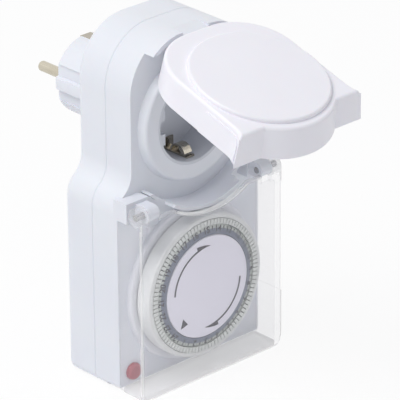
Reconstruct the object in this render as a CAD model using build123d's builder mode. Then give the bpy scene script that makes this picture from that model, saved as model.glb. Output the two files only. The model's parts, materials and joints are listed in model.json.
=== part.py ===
from build123d import *
from math import atan, cos, degrees, pi, radians, sin, tan
import os

os.makedirs("parts", exist_ok=True)

# Millimetres. The origin is the centre of the plug's mating face. +Y runs into the wall
# socket, -Y to the front, +Z up. Depths are measured forward from the housing's rear face,
# heights from the common axis of plug and socket.

# ---- plug -------------------------------------------------------------------
pin_diameter = 4.8
pin_length = 19.0            # outside the mating face
pin_spacing = 19.0
pin_tip_radius = 1.4
shank_diameter = 4.0         # the pin where the insert holds it
pin_setback = 0.2            # mating face to the thicker part of the pin
plug_length = 32.0           # mating face to the housing's rear face
plug_diameter = 37.0
plug_bore = 27.0
plug_edge_radius = 2.0
pocket_flat = 15.7           # axis to the flat of a side pocket
pocket_outer = 8.6           # half height of the pair of pockets
plug_rib_width = 5.2         # rib left between two pockets
pocket_length = 28.0
earth_strip_width = 6.0
earth_strip_thickness = 1.2
earth_strip_length = 19.0
earth_groove_depth = 1.8
insert_thickness = 6.0
insert_counterbore = 0.5     # depth of the wider mouth round each pin

# ---- housing ----------------------------------------------------------------
wall = 2.2
rear_floor = 2.6
rear_depth = 18.8            # rear face to the seam
housing_depth = 34.8         # rear face to the front face
half_upper = 33.1            # half width round the socket
half_lower = 41.8            # half width round the timer
top_height = 42.0
crown_radius = 25.6
flare_top = -17.5
flare_bottom = -35.5
bottom_height = -120.4
corner_radius = 4.0
rear_edge_radius = 4.0
seam_bevel = 0.4
beyond = 300.0               # reach of shapes that only cut

# ---- hood and shelf ---------------------------------------------------------
hood_depth = 40.3
hood_wall = 2.0
hood_height = top_height - 6.5    # the hood stands above this height
hood_notch_width = 15.0
hood_notch_length = 7.0
hood_notch_fall = 1.4        # the notch is a ramp that deepens to this at the front
shelf_radius = 37.8
shelf_wall = 1.5
shelf_depth = 47.5
shelf_half_width = 19.5
block_top = -27.4
block_bottom = -36.8
block_inner = half_lower - 12.5
block_depth = housing_depth + 6.2

# ---- socket -----------------------------------------------------------------
collar_radius = 28.2
collar_depth = 39.4
collar_edge_radius = 1.6
collar_draft = 15.0          # degrees, its outside widens towards the face
well_radius = 19.85
well_depth = 17.5
well_wall = 1.4
well_floor = 2.2
socket_hole_diameter = 5.6
guide_flat = 16.3
guide_height = 16.4
guide_groove = 6.0
clip_width = 4.5
clip_thickness = 0.8

# ---- lid --------------------------------------------------------------------
lid_angle = 73.0             # how far it stands open
lid_front = 49.6             # depth of its face when closed
lid_hinge_depth = 45.5
lid_hinge_height = top_height - 5.6
lid_wall = 1.8
lid_rear = housing_depth + 0.4        # rear edge of its skirt
lid_top_rear = hood_depth + 3.1       # rear edge of its skirt in front of the hood
lid_arc_radius = 32.2        # round bulge, at the face
lid_bottom = -24.4           # ends of its ears, at the face
lid_lean = 2.0               # ears and bulge reach this much further at the rear edge
lid_edge_radius = 1.6
lid_corner_radius = 0.8
lid_root_radius = 1.0        # where the ears meet the bulge
lid_disc_radius = 31.0
lid_disc_centre = 2.4        # above the socket's axis when closed
lid_disc_height = 2.0
lid_disc_edge = 1.2
lid_pad_bottom = 3.0         # above the end of the ear
lid_pad_length = 23.7
lid_pad_depth = 11.8
lid_pad_height = 0.4
lid_pad_corner = 4.5
lid_pin_diameter = 1.8
lid_pin_end = 0.4            # how far the pin stands out of its arms
lid_eye_radius = 2.0
lid_arm_inner = 9.2
lid_arm_width = 3.0
lid_arm_slack = 0.3          # barrel to arm, on each side
lid_seal_radius = 25.6
lid_seal_width = 2.2
lid_seal_seat = 1.5

# ---- timer cover ------------------------------------------------------------
cover_front = 50.0
cover_wall = 2.0
cover_hinge_depth = 46.0
cover_hinge_height = -32.2
cover_rear = housing_depth + 0.4
cover_lip_rear = housing_depth - 8.6  # its bottom wall reaches back under the front shell
cover_arc_radius = shelf_radius + shelf_wall + 0.5
cover_top = cover_hinge_height - 1.4
cover_side_top = block_bottom - 0.6
cover_notch_bottom = cover_side_top - 0.2
knuckle_radius = 4.3
knuckle_width = 4.3
knuckle_slack = 0.3          # knuckle to lug
knuckle_leg = 7.0            # height of the web from the knuckle down into the cover
lug_outer = half_lower - 5.0
lug_inner = lug_outer - 6.6
lug_radius = 3.4
cover_pin_inset = 0.1        # the pin's end lies this far inside the knuckle
cover_pin_diameter = 3.0
grip_height = 27.0           # the lower part of its sides is thicker
grip_step = 0.4
cover_floor_gap = 0.1
cover_edge_radius = 1.0

# ---- timer ------------------------------------------------------------------
dial_height = -78.3
dial_front = 46.3
scale_fall = 0.9             # the printed ring falls this far towards the tappets
bezel_margin = 2.8           # bezel to the cover's side wall
bezel_radius = half_lower - cover_wall - bezel_margin
bezel_front = housing_depth + 2.6
bezel_spigot = bezel_radius - 3.8
spigot_wall = 2.0
channel_floor = housing_depth + 1.2
tappet_count = 96
set_count = 8                # tappets of the two hours that are set together
tappet_outer = bezel_radius - 5.85
tappet_inner = tappet_outer - 2.5
channel_inner = tappet_inner - 0.95
channel_outer = tappet_outer + 0.85
tappet_tail = channel_floor + 2.6
tappet_head = channel_floor + 7.1
tappet_gap = 0.35
tail_gap = 0.25
rim_inner = tappet_outer + 0.25
rim_outer = rim_inner + 2.2
rim_front = 45.5
guide_rear = channel_floor + 3.4
guide_front = guide_rear + 1.6
scale_outer = tappet_inner - 0.25
scale_inner = scale_outer - 4.2
dial_rear = channel_floor + 3.0
dial_hub_radius = 7.0
post_radius = 4.0
post_clearance = 0.05
label_radius = scale_inner - 0.3
label_thickness = 1.6
module_front = housing_depth - 7.0
module_thickness = 2.0
module_radius = bezel_spigot
gear_face = 2.6
gear_clearance = 0.4
dial_gear_teeth = 30
idler_pinion_teeth = 10
idler_wheel_teeth = 24
motor_pinion_teeth = 8
gear_module = 1.0
wheel_module = 0.8
motor_direction = 233.0      # degrees, idler to motor
shaft_radius = 1.0
motor_radius = 14.0
motor_length = 14.5
nose_direction = 132.0       # degrees, dial axis to the lever's nose
nose_width = 3.0
nose_front = channel_floor + 0.4
lever_depth = module_front + 2.0
lever_thickness = 1.6
lever_pivot_height = dial_height + 32.9
lever_half_width = 5.2
lever_top = dial_height + 38.7
bracket_wall = 1.5
bracket_gap = 0.3
lever_eye = 1.9
leaf_gap = 0.7               # lever to the moving contact's leaf
leaf_thickness = 0.4
contact_half_width = 2.5
fixed_depth = module_front + 4.0
rivet_height = 0.3
nose_radius = (tappet_inner + tappet_outer) / 2
pillar_circle = bezel_spigot - 4.6
pillar_directions = [35.0, 190.0, 290.0]
pillar_radius = 2.3
pillar_hole = 1.1
module_screw_length = 8.0
bezel_rear = housing_depth - 2.0
tab_centre = -15.0
tab_width = 26.0
motor_boss = 4.0
motor_shaft_depth = 5.0
gear_front = housing_depth - 0.6      # front of the dial gear and of the idler's pinion
dial_web = dial_rear + 2.0
label_front = dial_front + 0.4
rim_rear = channel_floor + 2.0
tappet_front = 45.8
set_first = 38

# ---- fasteners, lamp and copper ---------------------------------------------
upper_screw_x = half_upper - 10.5
upper_screw_height = top_height - 13.4
lower_screw_x = 19.0
lower_screw_height = bottom_height + 8.8
screw_places = [(-upper_screw_x, upper_screw_height), (upper_screw_x, upper_screw_height),
                (-lower_screw_x, lower_screw_height), (lower_screw_x, lower_screw_height)]
screw_diameter = 3.0
screw_head_diameter = 6.0
screw_head_height = 2.2
screw_length = 22.0
screw_recess = 6.0
screw_slot_length = 3.6
screw_slot_width = 0.8
screw_slot_depth = 1.2
module_head_rim = 1.0
module_head_height = 1.4
boss_radius = 3.4
fit_gap = 0.05
lens_x = 7.8 - half_lower
lens_z = bottom_height + 8.4
lens_radius = 4.0
lens_barrel = 3.0
strip_width = 5.0
strip_thickness = 0.8
strap_thickness = 1.0
strap_rail = 1.5
run_height = 11.0            # axis to the inner run of an earth strip
pin_flange = 1.2
pin_tail = 3.0
bridge_depth = 9.0           # where the earth strap joins strips and clips
terminal_height = dial_height + 41.3  # where both bars reach the switch
terminal_depth = module_front
switched_depth = 8.0
lamp_radius = 2.0


def face_plane(depth, x=0.0, z=0.0):
    """Plane parallel to the front face; local x is +X, local y is +Z, normal forward."""
    return Plane(origin=(x, -(plug_length + depth), z), x_dir=(1, 0, 0), z_dir=(0, -1, 0))


def side_plane(x=0.0, z=0.0):
    """Plane across X; local x is the depth, local y is +Z."""
    return Plane(origin=(x, -plug_length, z), x_dir=(0, -1, 0), z_dir=(-1, 0, 0))


def radial_plane(z=0.0):
    """Plane for turned profiles; local x is the radius, local y is the depth."""
    return Plane(origin=(0, -plug_length, z), x_dir=(1, 0, 0), z_dir=(0, 0, -1))


def turn_axis(z=0.0):
    return Axis((0, -plug_length, z), (0, -1, 0))


def housing_outline(inset=0.0):
    """The housing seen from the front: a crown, straight sides, an S flare and a square base."""
    middle = ((half_upper + half_lower) / 2, (flare_top + flare_bottom) / 2)
    with BuildSketch(mode=Mode.PRIVATE) as outline:
        with BuildLine():
            base = Line((0, bottom_height), (half_lower - corner_radius, bottom_height))
            corner = TangentArc(
                base @ 1, (half_lower, bottom_height + corner_radius), tangent=base % 1)
            side = Line(corner @ 1, (half_lower, flare_bottom))
            lower_bend = TangentArc(side @ 1, middle, tangent=side % 1)
            upper_bend = TangentArc(lower_bend @ 1, (half_upper, flare_top), tangent=lower_bend % 1)
            waist = Line(upper_bend @ 1, (half_upper, top_height - crown_radius))
            crown = TangentArc(
                waist @ 1, (half_upper - crown_radius, top_height), tangent=waist % 1)
            Line(crown @ 1, (0, top_height))
            mirror(about=Plane.YZ)
        make_face()
        if inset:
            offset(amount=-inset, kind=Kind.ARC)
    return outline.sketch_local


def gear_outline(teeth, module_size, start_angle):
    """Straight-flanked teeth of 20 degrees on a root circle, thinned for a running gap."""
    pitch_radius = teeth * module_size / 2
    tip = pitch_radius + 0.8 * module_size
    root = pitch_radius - 1.1 * module_size
    half_tooth = 0.5 * (pi * module_size / 2 - 0.3 * module_size)
    slope = tan(radians(20))
    half_tip = half_tooth - 0.8 * module_size * slope
    half_root = half_tooth + 1.1 * module_size * slope
    foot = root * cos(half_root / root)
    with BuildSketch(mode=Mode.PRIVATE) as outline:
        Circle(root)
        with PolarLocations(0, teeth, start_angle=start_angle):
            Polygon((foot - 0.4, -half_root), (foot, -half_root), (tip, -half_tip),
                    (tip, half_tip), (foot, half_root), (foot - 0.4, half_root), align=None)
    return outline.sketch_local


def ring_outline(outer, inner):
    with BuildSketch(mode=Mode.PRIVATE) as outline:
        Circle(outer)
        Circle(inner, mode=Mode.SUBTRACT)
    return outline.sketch_local


outline_full = housing_outline()
outline_inner = housing_outline(wall)
outline_hood = housing_outline(hood_wall)
outline_floor = housing_outline(2 * seam_bevel)

# ---- rear shell: a tray with the plug barrel on its back ----------------------
with BuildPart() as rear_shell:
    with BuildSketch(face_plane(0)):
        add(outline_full)
    extrude(amount=rear_depth)
    rear_rim = rear_shell.faces().sort_by(Axis.Y)[-1].edges()
    fillet(rear_rim, radius=rear_edge_radius)
    chamfer(rear_shell.faces().sort_by(Axis.Y)[0].edges(), length=seam_bevel)
    with BuildSketch(face_plane(rear_floor)):
        add(outline_inner)
    extrude(amount=rear_depth - rear_floor, mode=Mode.SUBTRACT)
    with BuildSketch(face_plane(-plug_length)):
        Circle(plug_diameter / 2)
    extrude(amount=plug_length + rear_floor)
    plug_rim = rear_shell.faces().sort_by(Axis.Y)[-1].edges()
    fillet(plug_rim, radius=plug_edge_radius)
    # two pockets on each side leave the guide rib between them
    pocket_height = pocket_outer - plug_rib_width / 2
    with BuildSketch(face_plane(-plug_length)):
        with GridLocations(pocket_flat * 2 + 10, pocket_height + plug_rib_width, 2, 2):
            Rectangle(10, pocket_height)
    extrude(amount=pocket_length, mode=Mode.SUBTRACT)
    # grooves for the earth strips, top and bottom
    groove_floor = plug_diameter / 2 - earth_groove_depth
    with BuildSketch(face_plane(-plug_length)):
        with GridLocations(1, groove_floor * 2 + 4, 1, 2):
            Rectangle(earth_strip_width + 2 * fit_gap, 4)
    extrude(amount=earth_strip_length + fit_gap, mode=Mode.SUBTRACT)
    with BuildSketch(face_plane(-plug_length)):
        Circle(plug_bore / 2)
    extrude(amount=plug_length + rear_floor, mode=Mode.SUBTRACT)
    # slots where the strips turn inward
    with BuildSketch(face_plane(-plug_length + earth_strip_length - earth_strip_thickness - fit_gap)):
        Rectangle(earth_strip_width + 2 * fit_gap, plug_diameter)
    extrude(amount=earth_strip_thickness + 2 * fit_gap, mode=Mode.SUBTRACT)
    # screw bosses, drilled and sunk from the back
    with BuildSketch(face_plane(rear_floor)):
        with Locations(*screw_places):
            Circle(boss_radius)
    extrude(amount=rear_depth - rear_floor)
    with BuildSketch(face_plane(rear_floor)):
        with Locations(*screw_places):
            Circle(screw_head_diameter / 2 + 2.0)
    extrude(amount=screw_recess)
    with BuildSketch(face_plane(0)):
        with Locations(*screw_places):
            Circle(screw_head_diameter / 2 + 0.3)
    extrude(amount=screw_recess, mode=Mode.SUBTRACT)
    with BuildSketch(face_plane(0)):
        with Locations(*screw_places):
            Circle(screw_diameter / 2 + 0.1)
    extrude(amount=rear_depth, mode=Mode.SUBTRACT)
rear_shell.part.label = "rear_shell"
export_step(rear_shell.part, "parts/rear_shell.step")

# ---- front shell: walls, face, collar, hood, shelf and hinge lugs ---------------
lug_x = (lug_inner + lug_outer) / 2
lug_width = lug_outer - lug_inner
knuckle_inner = lug_outer + knuckle_slack
knuckle_outer = knuckle_inner + knuckle_width
block_width = half_lower - block_inner
arm_x = lid_arm_inner + lid_arm_width / 2
lid_pin_half = lid_arm_inner + lid_arm_width + lid_pin_end
cover_lip_height = cover_wall + cover_floor_gap + 0.3
with BuildPart() as front_shell:
    with BuildSketch(face_plane(rear_depth)):
        add(outline_full)
    extrude(amount=housing_depth - rear_depth)
    chamfer(front_shell.faces().sort_by(Axis.Y)[-1].edges(), length=seam_bevel)
    with BuildSketch(face_plane(rear_depth)):
        add(outline_inner)
    extrude(amount=housing_depth - rear_depth - wall, mode=Mode.SUBTRACT)
    # the floor stands higher where the cover's bottom wall reaches back under it
    lip_floor = bottom_height + cover_lip_height
    with BuildSketch(face_plane(rear_depth)):
        add(outline_floor)
        with Locations((0, lip_floor + wall)):
            Rectangle(3 * half_lower, beyond, align=(Align.CENTER, Align.MIN), mode=Mode.SUBTRACT)
    extrude(amount=housing_depth - rear_depth)
    with BuildSketch(face_plane(cover_lip_rear - 0.4)):
        with Locations((0, lip_floor)):
            Rectangle(3 * half_lower, cover_lip_height + 10, align=(Align.CENTER, Align.MAX))
    extrude(amount=housing_depth, mode=Mode.SUBTRACT)
    # hood: the wall of the crown carried forward over the lid's hinge
    with BuildSketch(face_plane(housing_depth - wall)):
        add(outline_full)
        add(outline_hood, mode=Mode.SUBTRACT)
        with Locations((0, hood_height)):
            Rectangle(4 * half_lower, beyond, align=(Align.CENTER, Align.MAX), mode=Mode.SUBTRACT)
    extrude(amount=hood_depth - housing_depth + wall)
    with BuildSketch(side_plane(0)):
        with BuildLine():
            Polyline((hood_depth - hood_notch_length, top_height),
                     (hood_depth + 1, top_height - hood_notch_fall * (1 + 1 / hood_notch_length)),
                     (hood_depth + 1, top_height + 1), (hood_depth - hood_notch_length, top_height + 1),
                     close=True)
        make_face()
    extrude(amount=hood_notch_width / 2, both=True, mode=Mode.SUBTRACT)
    # collar: a turned, cored ring round the socket
    collar_rise = collar_depth - housing_depth + wall
    with BuildSketch(face_plane(housing_depth - wall)):
        Circle(collar_radius + collar_rise * tan(radians(collar_draft)))
    extrude(amount=collar_rise, taper=collar_draft)
    collar_edges = front_shell.edges().filter_by(GeomType.CIRCLE).filter_by(
        lambda edge: abs(edge.radius - collar_radius) < 0.01)
    collar_rim = collar_edges.group_by(Axis.Y)[0]
    fillet(collar_rim, radius=collar_edge_radius)
    with BuildSketch(face_plane(housing_depth - wall)):
        add(ring_outline(collar_radius - 2.0, well_radius + well_wall + 2.0))
    extrude(amount=collar_depth - housing_depth, mode=Mode.SUBTRACT)
    with BuildSketch(face_plane(0)):
        Circle(well_radius + well_wall + fit_gap)
    extrude(amount=collar_depth, mode=Mode.SUBTRACT)
    # hole that the timer's bezel plugs into
    with BuildSketch(face_plane(0, z=dial_height)):
        Circle(bezel_spigot + fit_gap)
    extrude(amount=housing_depth, mode=Mode.SUBTRACT)
    # shelf: a curved wall round the socket that closes the timer's bay from above
    with BuildSketch(face_plane(housing_depth - wall)):
        add(ring_outline(shelf_radius + shelf_wall, shelf_radius))
        with Locations((0, 0)):
            Rectangle(2 * shelf_half_width, 100, align=(Align.CENTER, Align.MAX),
                      mode=Mode.INTERSECT)
    extrude(amount=shelf_depth - housing_depth + wall)
    with BuildSketch(face_plane(housing_depth - wall)):
        with Locations((-block_inner - block_width / 2, block_top),
                       (block_inner + block_width / 2, block_top)):
            Rectangle(block_width, block_top - block_bottom, align=(Align.CENTER, Align.MAX))
        add(ring_outline(shelf_radius + shelf_wall, shelf_radius))
        with Locations((0, block_top)):
            Rectangle(2 * half_lower, 100, align=(Align.CENTER, Align.MAX), mode=Mode.INTERSECT)
        with Locations((0, 0)):
            Rectangle(2 * shelf_half_width - 1, 100, align=(Align.CENTER, Align.MAX), mode=Mode.SUBTRACT)
    extrude(amount=block_depth - housing_depth + wall)
    # lugs for the cover's hinge pins
    for side in (-1, 1):
        with BuildSketch(side_plane(side * lug_x)):
            with Locations((cover_hinge_depth, cover_hinge_height)):
                Circle(lug_radius)
            with Locations((housing_depth, cover_hinge_height - lug_radius)):
                Rectangle(cover_hinge_depth - housing_depth, lug_radius * 2, align=(Align.MIN, Align.MIN))
        extrude(amount=lug_width / 2, both=True)
    with BuildSketch(side_plane(0)):
        with Locations((cover_hinge_depth, cover_hinge_height)):
            Circle(cover_pin_diameter / 2 + fit_gap)
    extrude(amount=half_lower, both=True, mode=Mode.SUBTRACT)
    # arms for the lid's hinge pin, rising from the face under the lid's swing
    arm_foot = lid_hinge_height - 10.0
    arm_top = lid_hinge_height - 5.4
    arm_knee = lid_hinge_depth - 6.1
    for side in (-1, 1):
        with BuildSketch(side_plane(side * arm_x)):
            with BuildLine():
                Polyline((housing_depth - 1, arm_foot), (housing_depth - 1, arm_top), (arm_knee, arm_top),
                         (lid_hinge_depth - 1.6, lid_hinge_height + 1.2),
                         (lid_hinge_depth + 1.2, lid_hinge_height - 1.6), (arm_knee, arm_foot), close=True)
            make_face()
            with Locations((lid_hinge_depth, lid_hinge_height)):
                Circle(lid_eye_radius)
        extrude(amount=lid_arm_width / 2, both=True)
    with BuildSketch(side_plane(0)):
        with Locations((lid_hinge_depth, lid_hinge_height)):
            Circle(lid_pin_diameter / 2 + fit_gap)
    extrude(amount=lid_pin_half, both=True, mode=Mode.SUBTRACT)
    # bosses for the housing screws
    with BuildSketch(face_plane(rear_depth)):
        with Locations(*screw_places):
            Circle(boss_radius)
    extrude(amount=housing_depth - rear_depth - wall)
    with BuildSketch(face_plane(rear_depth)):
        with Locations(*screw_places):
            Circle(screw_diameter / 2 + fit_gap)
    extrude(amount=screw_recess + screw_length - rear_depth + 1, mode=Mode.SUBTRACT)
    # hole for the lamp's lens
    with BuildSketch(face_plane(0)):
        with Locations((lens_x, lens_z)):
            Circle(lens_barrel + fit_gap)
    extrude(amount=housing_depth + 1, mode=Mode.SUBTRACT)
front_shell.part.label = "front_shell"
export_step(front_shell.part, "parts/front_shell.step")

# ---- plug insert, pins and earth strips -----------------------------------------
with BuildPart() as plug_insert:
    with BuildSketch(face_plane(-plug_length)):
        Circle(plug_bore / 2 - fit_gap)
        with GridLocations(pin_spacing, 1, 2, 1):
            Circle(shank_diameter / 2 + fit_gap, mode=Mode.SUBTRACT)
    extrude(amount=insert_thickness)
    with BuildSketch(face_plane(-plug_length)):
        with GridLocations(pin_spacing, 1, 2, 1):
            Circle(pin_diameter / 2 + fit_gap)
    extrude(amount=insert_counterbore, mode=Mode.SUBTRACT)
plug_insert.part.label = "plug_insert"
export_step(plug_insert.part, "parts/plug_insert.step")

with BuildPart() as plug_pins:
    with BuildSketch(face_plane(-plug_length - pin_length)):
        with GridLocations(pin_spacing, 1, 2, 1):
            Circle(pin_diameter / 2)
    extrude(amount=pin_length - pin_setback)
    pin_tips = plug_pins.edges().filter_by(GeomType.CIRCLE).group_by(Axis.Y)[-1]
    fillet(pin_tips, radius=pin_tip_radius)
    with BuildSketch(face_plane(-plug_length - pin_setback)):
        with GridLocations(pin_spacing, 1, 2, 1):
            Circle(shank_diameter / 2)
    extrude(amount=pin_setback + insert_thickness + pin_tail)
    with BuildSketch(face_plane(-plug_length + insert_thickness)):
        with GridLocations(pin_spacing, 1, 2, 1):
            Circle(pin_diameter / 2 + pin_flange)
    extrude(amount=pin_flange)
plug_pins.part.label = "plug_pins"
export_step(plug_pins.part, "parts/plug_pins.step")

strip_outer = plug_diameter / 2 - 0.3
with BuildPart() as plug_earth_contacts:
    with BuildSketch(side_plane(0)):
        for side in (-1, 1):
            with Locations((-plug_length + 0.6, side * strip_outer)):
                Rectangle(earth_strip_length - 0.6, earth_strip_thickness,
                          align=(Align.MIN, Align.MAX if side > 0 else Align.MIN))
            with Locations((-plug_length + earth_strip_length, side * strip_outer)):
                Rectangle(earth_strip_thickness, strip_outer - run_height,
                          align=(Align.MAX, Align.MAX if side > 0 else Align.MIN))
            with Locations((-plug_length + earth_strip_length - earth_strip_thickness, side * run_height)):
                Rectangle(bridge_depth + plug_length - earth_strip_length + earth_strip_thickness, 1.0,
                          align=(Align.MIN, Align.MIN if side > 0 else Align.MAX))
    extrude(amount=earth_strip_width / 2, both=True)
plug_earth_contacts.part.label = "plug_earth_contacts"
export_step(plug_earth_contacts.part, "parts/plug_earth_contacts.step")

# ---- socket insert: the well with its guide ribs and holes ----------------------
well_back = collar_depth - well_depth
with BuildPart() as socket_insert:
    with BuildSketch(face_plane(well_back - well_floor)):
        Circle(well_radius + well_wall)
    extrude(amount=well_depth + well_floor)
    with BuildSketch(face_plane(well_back)):
        Circle(well_radius)
    extrude(amount=well_depth, mode=Mode.SUBTRACT)
    lead_in = socket_insert.edges().filter_by(GeomType.CIRCLE).group_by(Axis.Y)[0].sort_by(
        SortBy.RADIUS)[0]
    fillet(lead_in, radius=0.6)
    with BuildSketch(face_plane(well_back)):
        Circle(well_radius + well_wall / 2)
        Rectangle(2 * guide_flat, 4 * well_radius, mode=Mode.SUBTRACT)
        Rectangle(4 * well_radius, guide_height, mode=Mode.INTERSECT)
        Rectangle(4 * well_radius, guide_groove, mode=Mode.SUBTRACT)
    extrude(amount=well_depth - 1.2)
    with BuildSketch(face_plane(0)):
        with GridLocations(pin_spacing, 1, 2, 1):
            Circle(socket_hole_diameter / 2)
        with GridLocations(1, 2 * well_radius - 1.8, 1, 2):
            Rectangle(clip_width + 0.4, 2.4)
    extrude(amount=well_back + 0.1, mode=Mode.SUBTRACT)
socket_insert.part.label = "socket_insert"
export_step(socket_insert.part, "parts/socket_insert.step")

clip_height = well_radius - 0.3
with BuildPart() as socket_earth_clips:
    for side in (-1, 1):
        with BuildSketch(side_plane(0)):
            with BuildLine() as spring:
                Line((well_back + 2.0, side * (clip_height - 0.4)),
                     (well_back + 4.0, side * (clip_height - 0.4)))
                ThreePointArc((well_back + 4.0, side * (clip_height - 0.4)),
                              (well_back + 8.6, side * (clip_height - 4.6)),
                              (well_back + 12.6, side * (clip_height - 1.5)))
            trace(spring.line, line_width=clip_thickness)
            with Locations((bridge_depth, side * clip_height)):
                Rectangle(collar_depth - 3.0 - bridge_depth, clip_thickness,
                          align=(Align.MIN, Align.MAX if side > 0 else Align.MIN))
            with Locations((well_back + 0.3, side * clip_height)):
                Rectangle(clip_thickness, 5.6, align=(Align.MIN, Align.MAX if side > 0 else Align.MIN))
        extrude(amount=clip_width / 2, both=True)
socket_earth_clips.part.label = "socket_earth_clips"
export_step(socket_earth_clips.part, "parts/socket_earth_clips.step")

# ---- copper between plug, switch and socket --------------------------------------
with BuildPart() as earth_strap:
    with BuildSketch(face_plane(bridge_depth - strap_thickness)):
        Rectangle(earth_strip_width + 2 * strap_rail, 2 * (run_height + 1.0 + strap_rail))
        Rectangle(earth_strip_width, 2 * clip_height)
        Rectangle(earth_strip_width + 0.1, 2 * (run_height + 1.0), mode=Mode.SUBTRACT)
    extrude(amount=strap_thickness)
earth_strap.part.label = "earth_strap"
export_step(earth_strap.part, "parts/earth_strap.step")

# each socket contact is a U of two leaves that pinch the pin in front of its tip
leaf_offset = pin_diameter / 2 + 0.5 + strip_thickness / 2
contact_rear = 0.8
contact_front = well_back - well_floor - 0.4
with BuildPart() as socket_contacts:
    with BuildSketch(Plane.XY.offset(-strip_width / 2)):
        for side in (-1, 1):
            for leaf in (-1, 1):
                leaf_x = side * pin_spacing / 2 + leaf * leaf_offset
                pinch_x = side * pin_spacing / 2 + leaf * (pin_diameter / 2 + strip_thickness / 2)
                with BuildLine() as leaf_line:
                    Polyline((leaf_x, -plug_length - contact_rear),
                             (leaf_x, -plug_length - contact_front + 6.0),
                             (pinch_x, -plug_length - contact_front + 3.0),
                             (leaf_x, -plug_length - contact_front))
                trace(leaf_line.line, line_width=strip_thickness)
            with Locations((side * pin_spacing / 2, -plug_length - contact_rear - strip_thickness / 2)):
                Rectangle(2 * leaf_offset + strip_thickness, strip_thickness)
    extrude(amount=strip_width)
socket_contacts.part.label = "socket_contacts"
export_step(socket_contacts.part, "parts/socket_contacts.step")

flange_front = -plug_length + insert_thickness + pin_flange
bar_x = pin_spacing / 2 + leaf_offset
with BuildPart() as neutral_bar:
    with BuildSketch(Plane.XY.offset(-0.4 * strip_width)):
        with Locations((bar_x, -plug_length - flange_front)):
            Rectangle(strip_thickness, contact_rear - flange_front, align=(Align.CENTER, Align.MAX))
    extrude(amount=0.8 * strip_width)
neutral_bar.part.label = "neutral_bar"
export_step(neutral_bar.part, "parts/neutral_bar.step")

# the live bar runs below the socket's contacts, drops behind the well and ends at the switch
live_depth = 4.0
live_inner = -6.0
live_outer = -10.0
live_height = -8.2
with BuildPart() as live_bar:
    with BuildSketch(side_plane((live_inner + live_outer) / 2)):
        with BuildLine() as live_route:
            Polyline((flange_front + strip_thickness / 2, -pin_diameter / 2 - 0.1),
                     (flange_front + strip_thickness / 2, live_height),
                     (live_depth, live_height),
                     (live_depth, terminal_height),
                     (terminal_depth, terminal_height))
        trace(live_route.line, line_width=strip_thickness)
    extrude(amount=(live_inner - live_outer) / 2, both=True)
live_bar.part.label = "live_bar"
export_step(live_bar.part, "parts/live_bar.step")

# the switched bar goes from the switch back up to the live contact's outer leaf
switched_x = -(bar_x + strip_thickness)
with BuildPart() as switched_bar:
    with BuildSketch(side_plane(switched_x)):
        with Locations((switched_depth, strip_width / 2)):
            Rectangle(strip_width, strip_width / 2 - terminal_height, align=(Align.MIN, Align.MAX))
        with Locations((switched_depth, terminal_height)):
            Rectangle(terminal_depth - switched_depth, strip_width, align=(Align.MIN, Align.MIN))
    extrude(amount=strip_thickness / 2, both=True)
switched_bar.part.label = "switched_bar"
export_step(switched_bar.part, "parts/switched_bar.step")

# ---- lid: a cap with a skirt, standing open on its hinge --------------------------
lid_up = Vector(0, sin(radians(lid_angle)), cos(radians(lid_angle)))
lid_forward = Vector(0, -cos(radians(lid_angle)), sin(radians(lid_angle)))
lid_hinge = Vector(0, -(plug_length + lid_hinge_depth), lid_hinge_height)
lid_origin = lid_hinge - lid_up * lid_hinge_height - lid_forward * lid_hinge_depth


def lid_plane(depth):
    """Like face_plane, but turned with the open lid; heights and depths are as if it were shut."""
    return Plane(origin=lid_origin + lid_forward * depth, x_dir=(1, 0, 0), z_dir=lid_forward)


def lid_side_plane(x=0.0):
    return Plane(origin=lid_origin + Vector(x, 0, 0), x_dir=lid_forward, z_dir=(-1, 0, 0))


def lid_outline(inset=0.0):
    """The housing's outline down to the ears, with a round bulge below the socket."""
    with BuildSketch(mode=Mode.PRIVATE) as outline:
        add(outline_full)
        with Locations((0, lid_bottom)):
            Rectangle(4 * half_lower, beyond, align=(Align.CENTER, Align.MAX), mode=Mode.SUBTRACT)
        with BuildSketch(mode=Mode.PRIVATE) as bulge:
            Circle(lid_arc_radius)
            with Locations((0, lid_bottom + 1.0)):
                Rectangle(4 * half_lower, 100, align=(Align.CENTER, Align.MAX), mode=Mode.INTERSECT)
        add(bulge.sketch_local)
        ear_ends = outline.vertices().filter_by_position(Axis.Y, lid_bottom - 0.01, lid_bottom + 0.01)
        fillet(ear_ends.sort_by(lambda corner: abs(corner.X))[:2], radius=lid_root_radius)
        ear_ends = outline.vertices().filter_by_position(Axis.Y, lid_bottom - 0.01, lid_bottom + 0.01)
        fillet(ear_ends.sort_by(lambda corner: abs(corner.X))[-2:], radius=lid_corner_radius)
        if inset:
            offset(amount=-inset, kind=Kind.INTERSECTION)
    return outline.sketch_local


def lid_flare(inset=0.0):
    """The lower end of the skirt: ears and bulge lean outwards from the face to the rear edge."""
    flare_front = lid_front - lid_edge_radius
    draft = lid_lean / (flare_front - lid_rear)
    ear_end = lid_bottom - lid_lean + inset
    with BuildPart() as flare:
        with BuildSketch(lid_plane(lid_rear)):
            add(housing_outline(inset))
            with Locations((0, ear_end)):
                Rectangle(4 * half_lower, 2 * lid_lean, align=(Align.CENTER, Align.MIN), mode=Mode.INTERSECT)
        extrude(amount=flare_front - lid_rear)
        with BuildSketch(lid_side_plane(0)):
            with BuildLine():
                Polyline((lid_rear, ear_end), (flare_front, ear_end + lid_lean), (flare_front, ear_end - 1),
                         (lid_rear, ear_end - 1), close=True)
            make_face()
        extrude(amount=2 * half_lower, both=True, mode=Mode.SUBTRACT)
        with BuildSketch(lid_plane(lid_rear)):
            Circle(lid_arc_radius + lid_lean - inset)
            with Locations((0, ear_end + 2 * lid_lean)):
                Rectangle(4 * half_lower, 100, align=(Align.CENTER, Align.MAX), mode=Mode.INTERSECT)
        extrude(amount=flare_front - lid_rear, taper=degrees(atan(draft)))
    return flare.part


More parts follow.
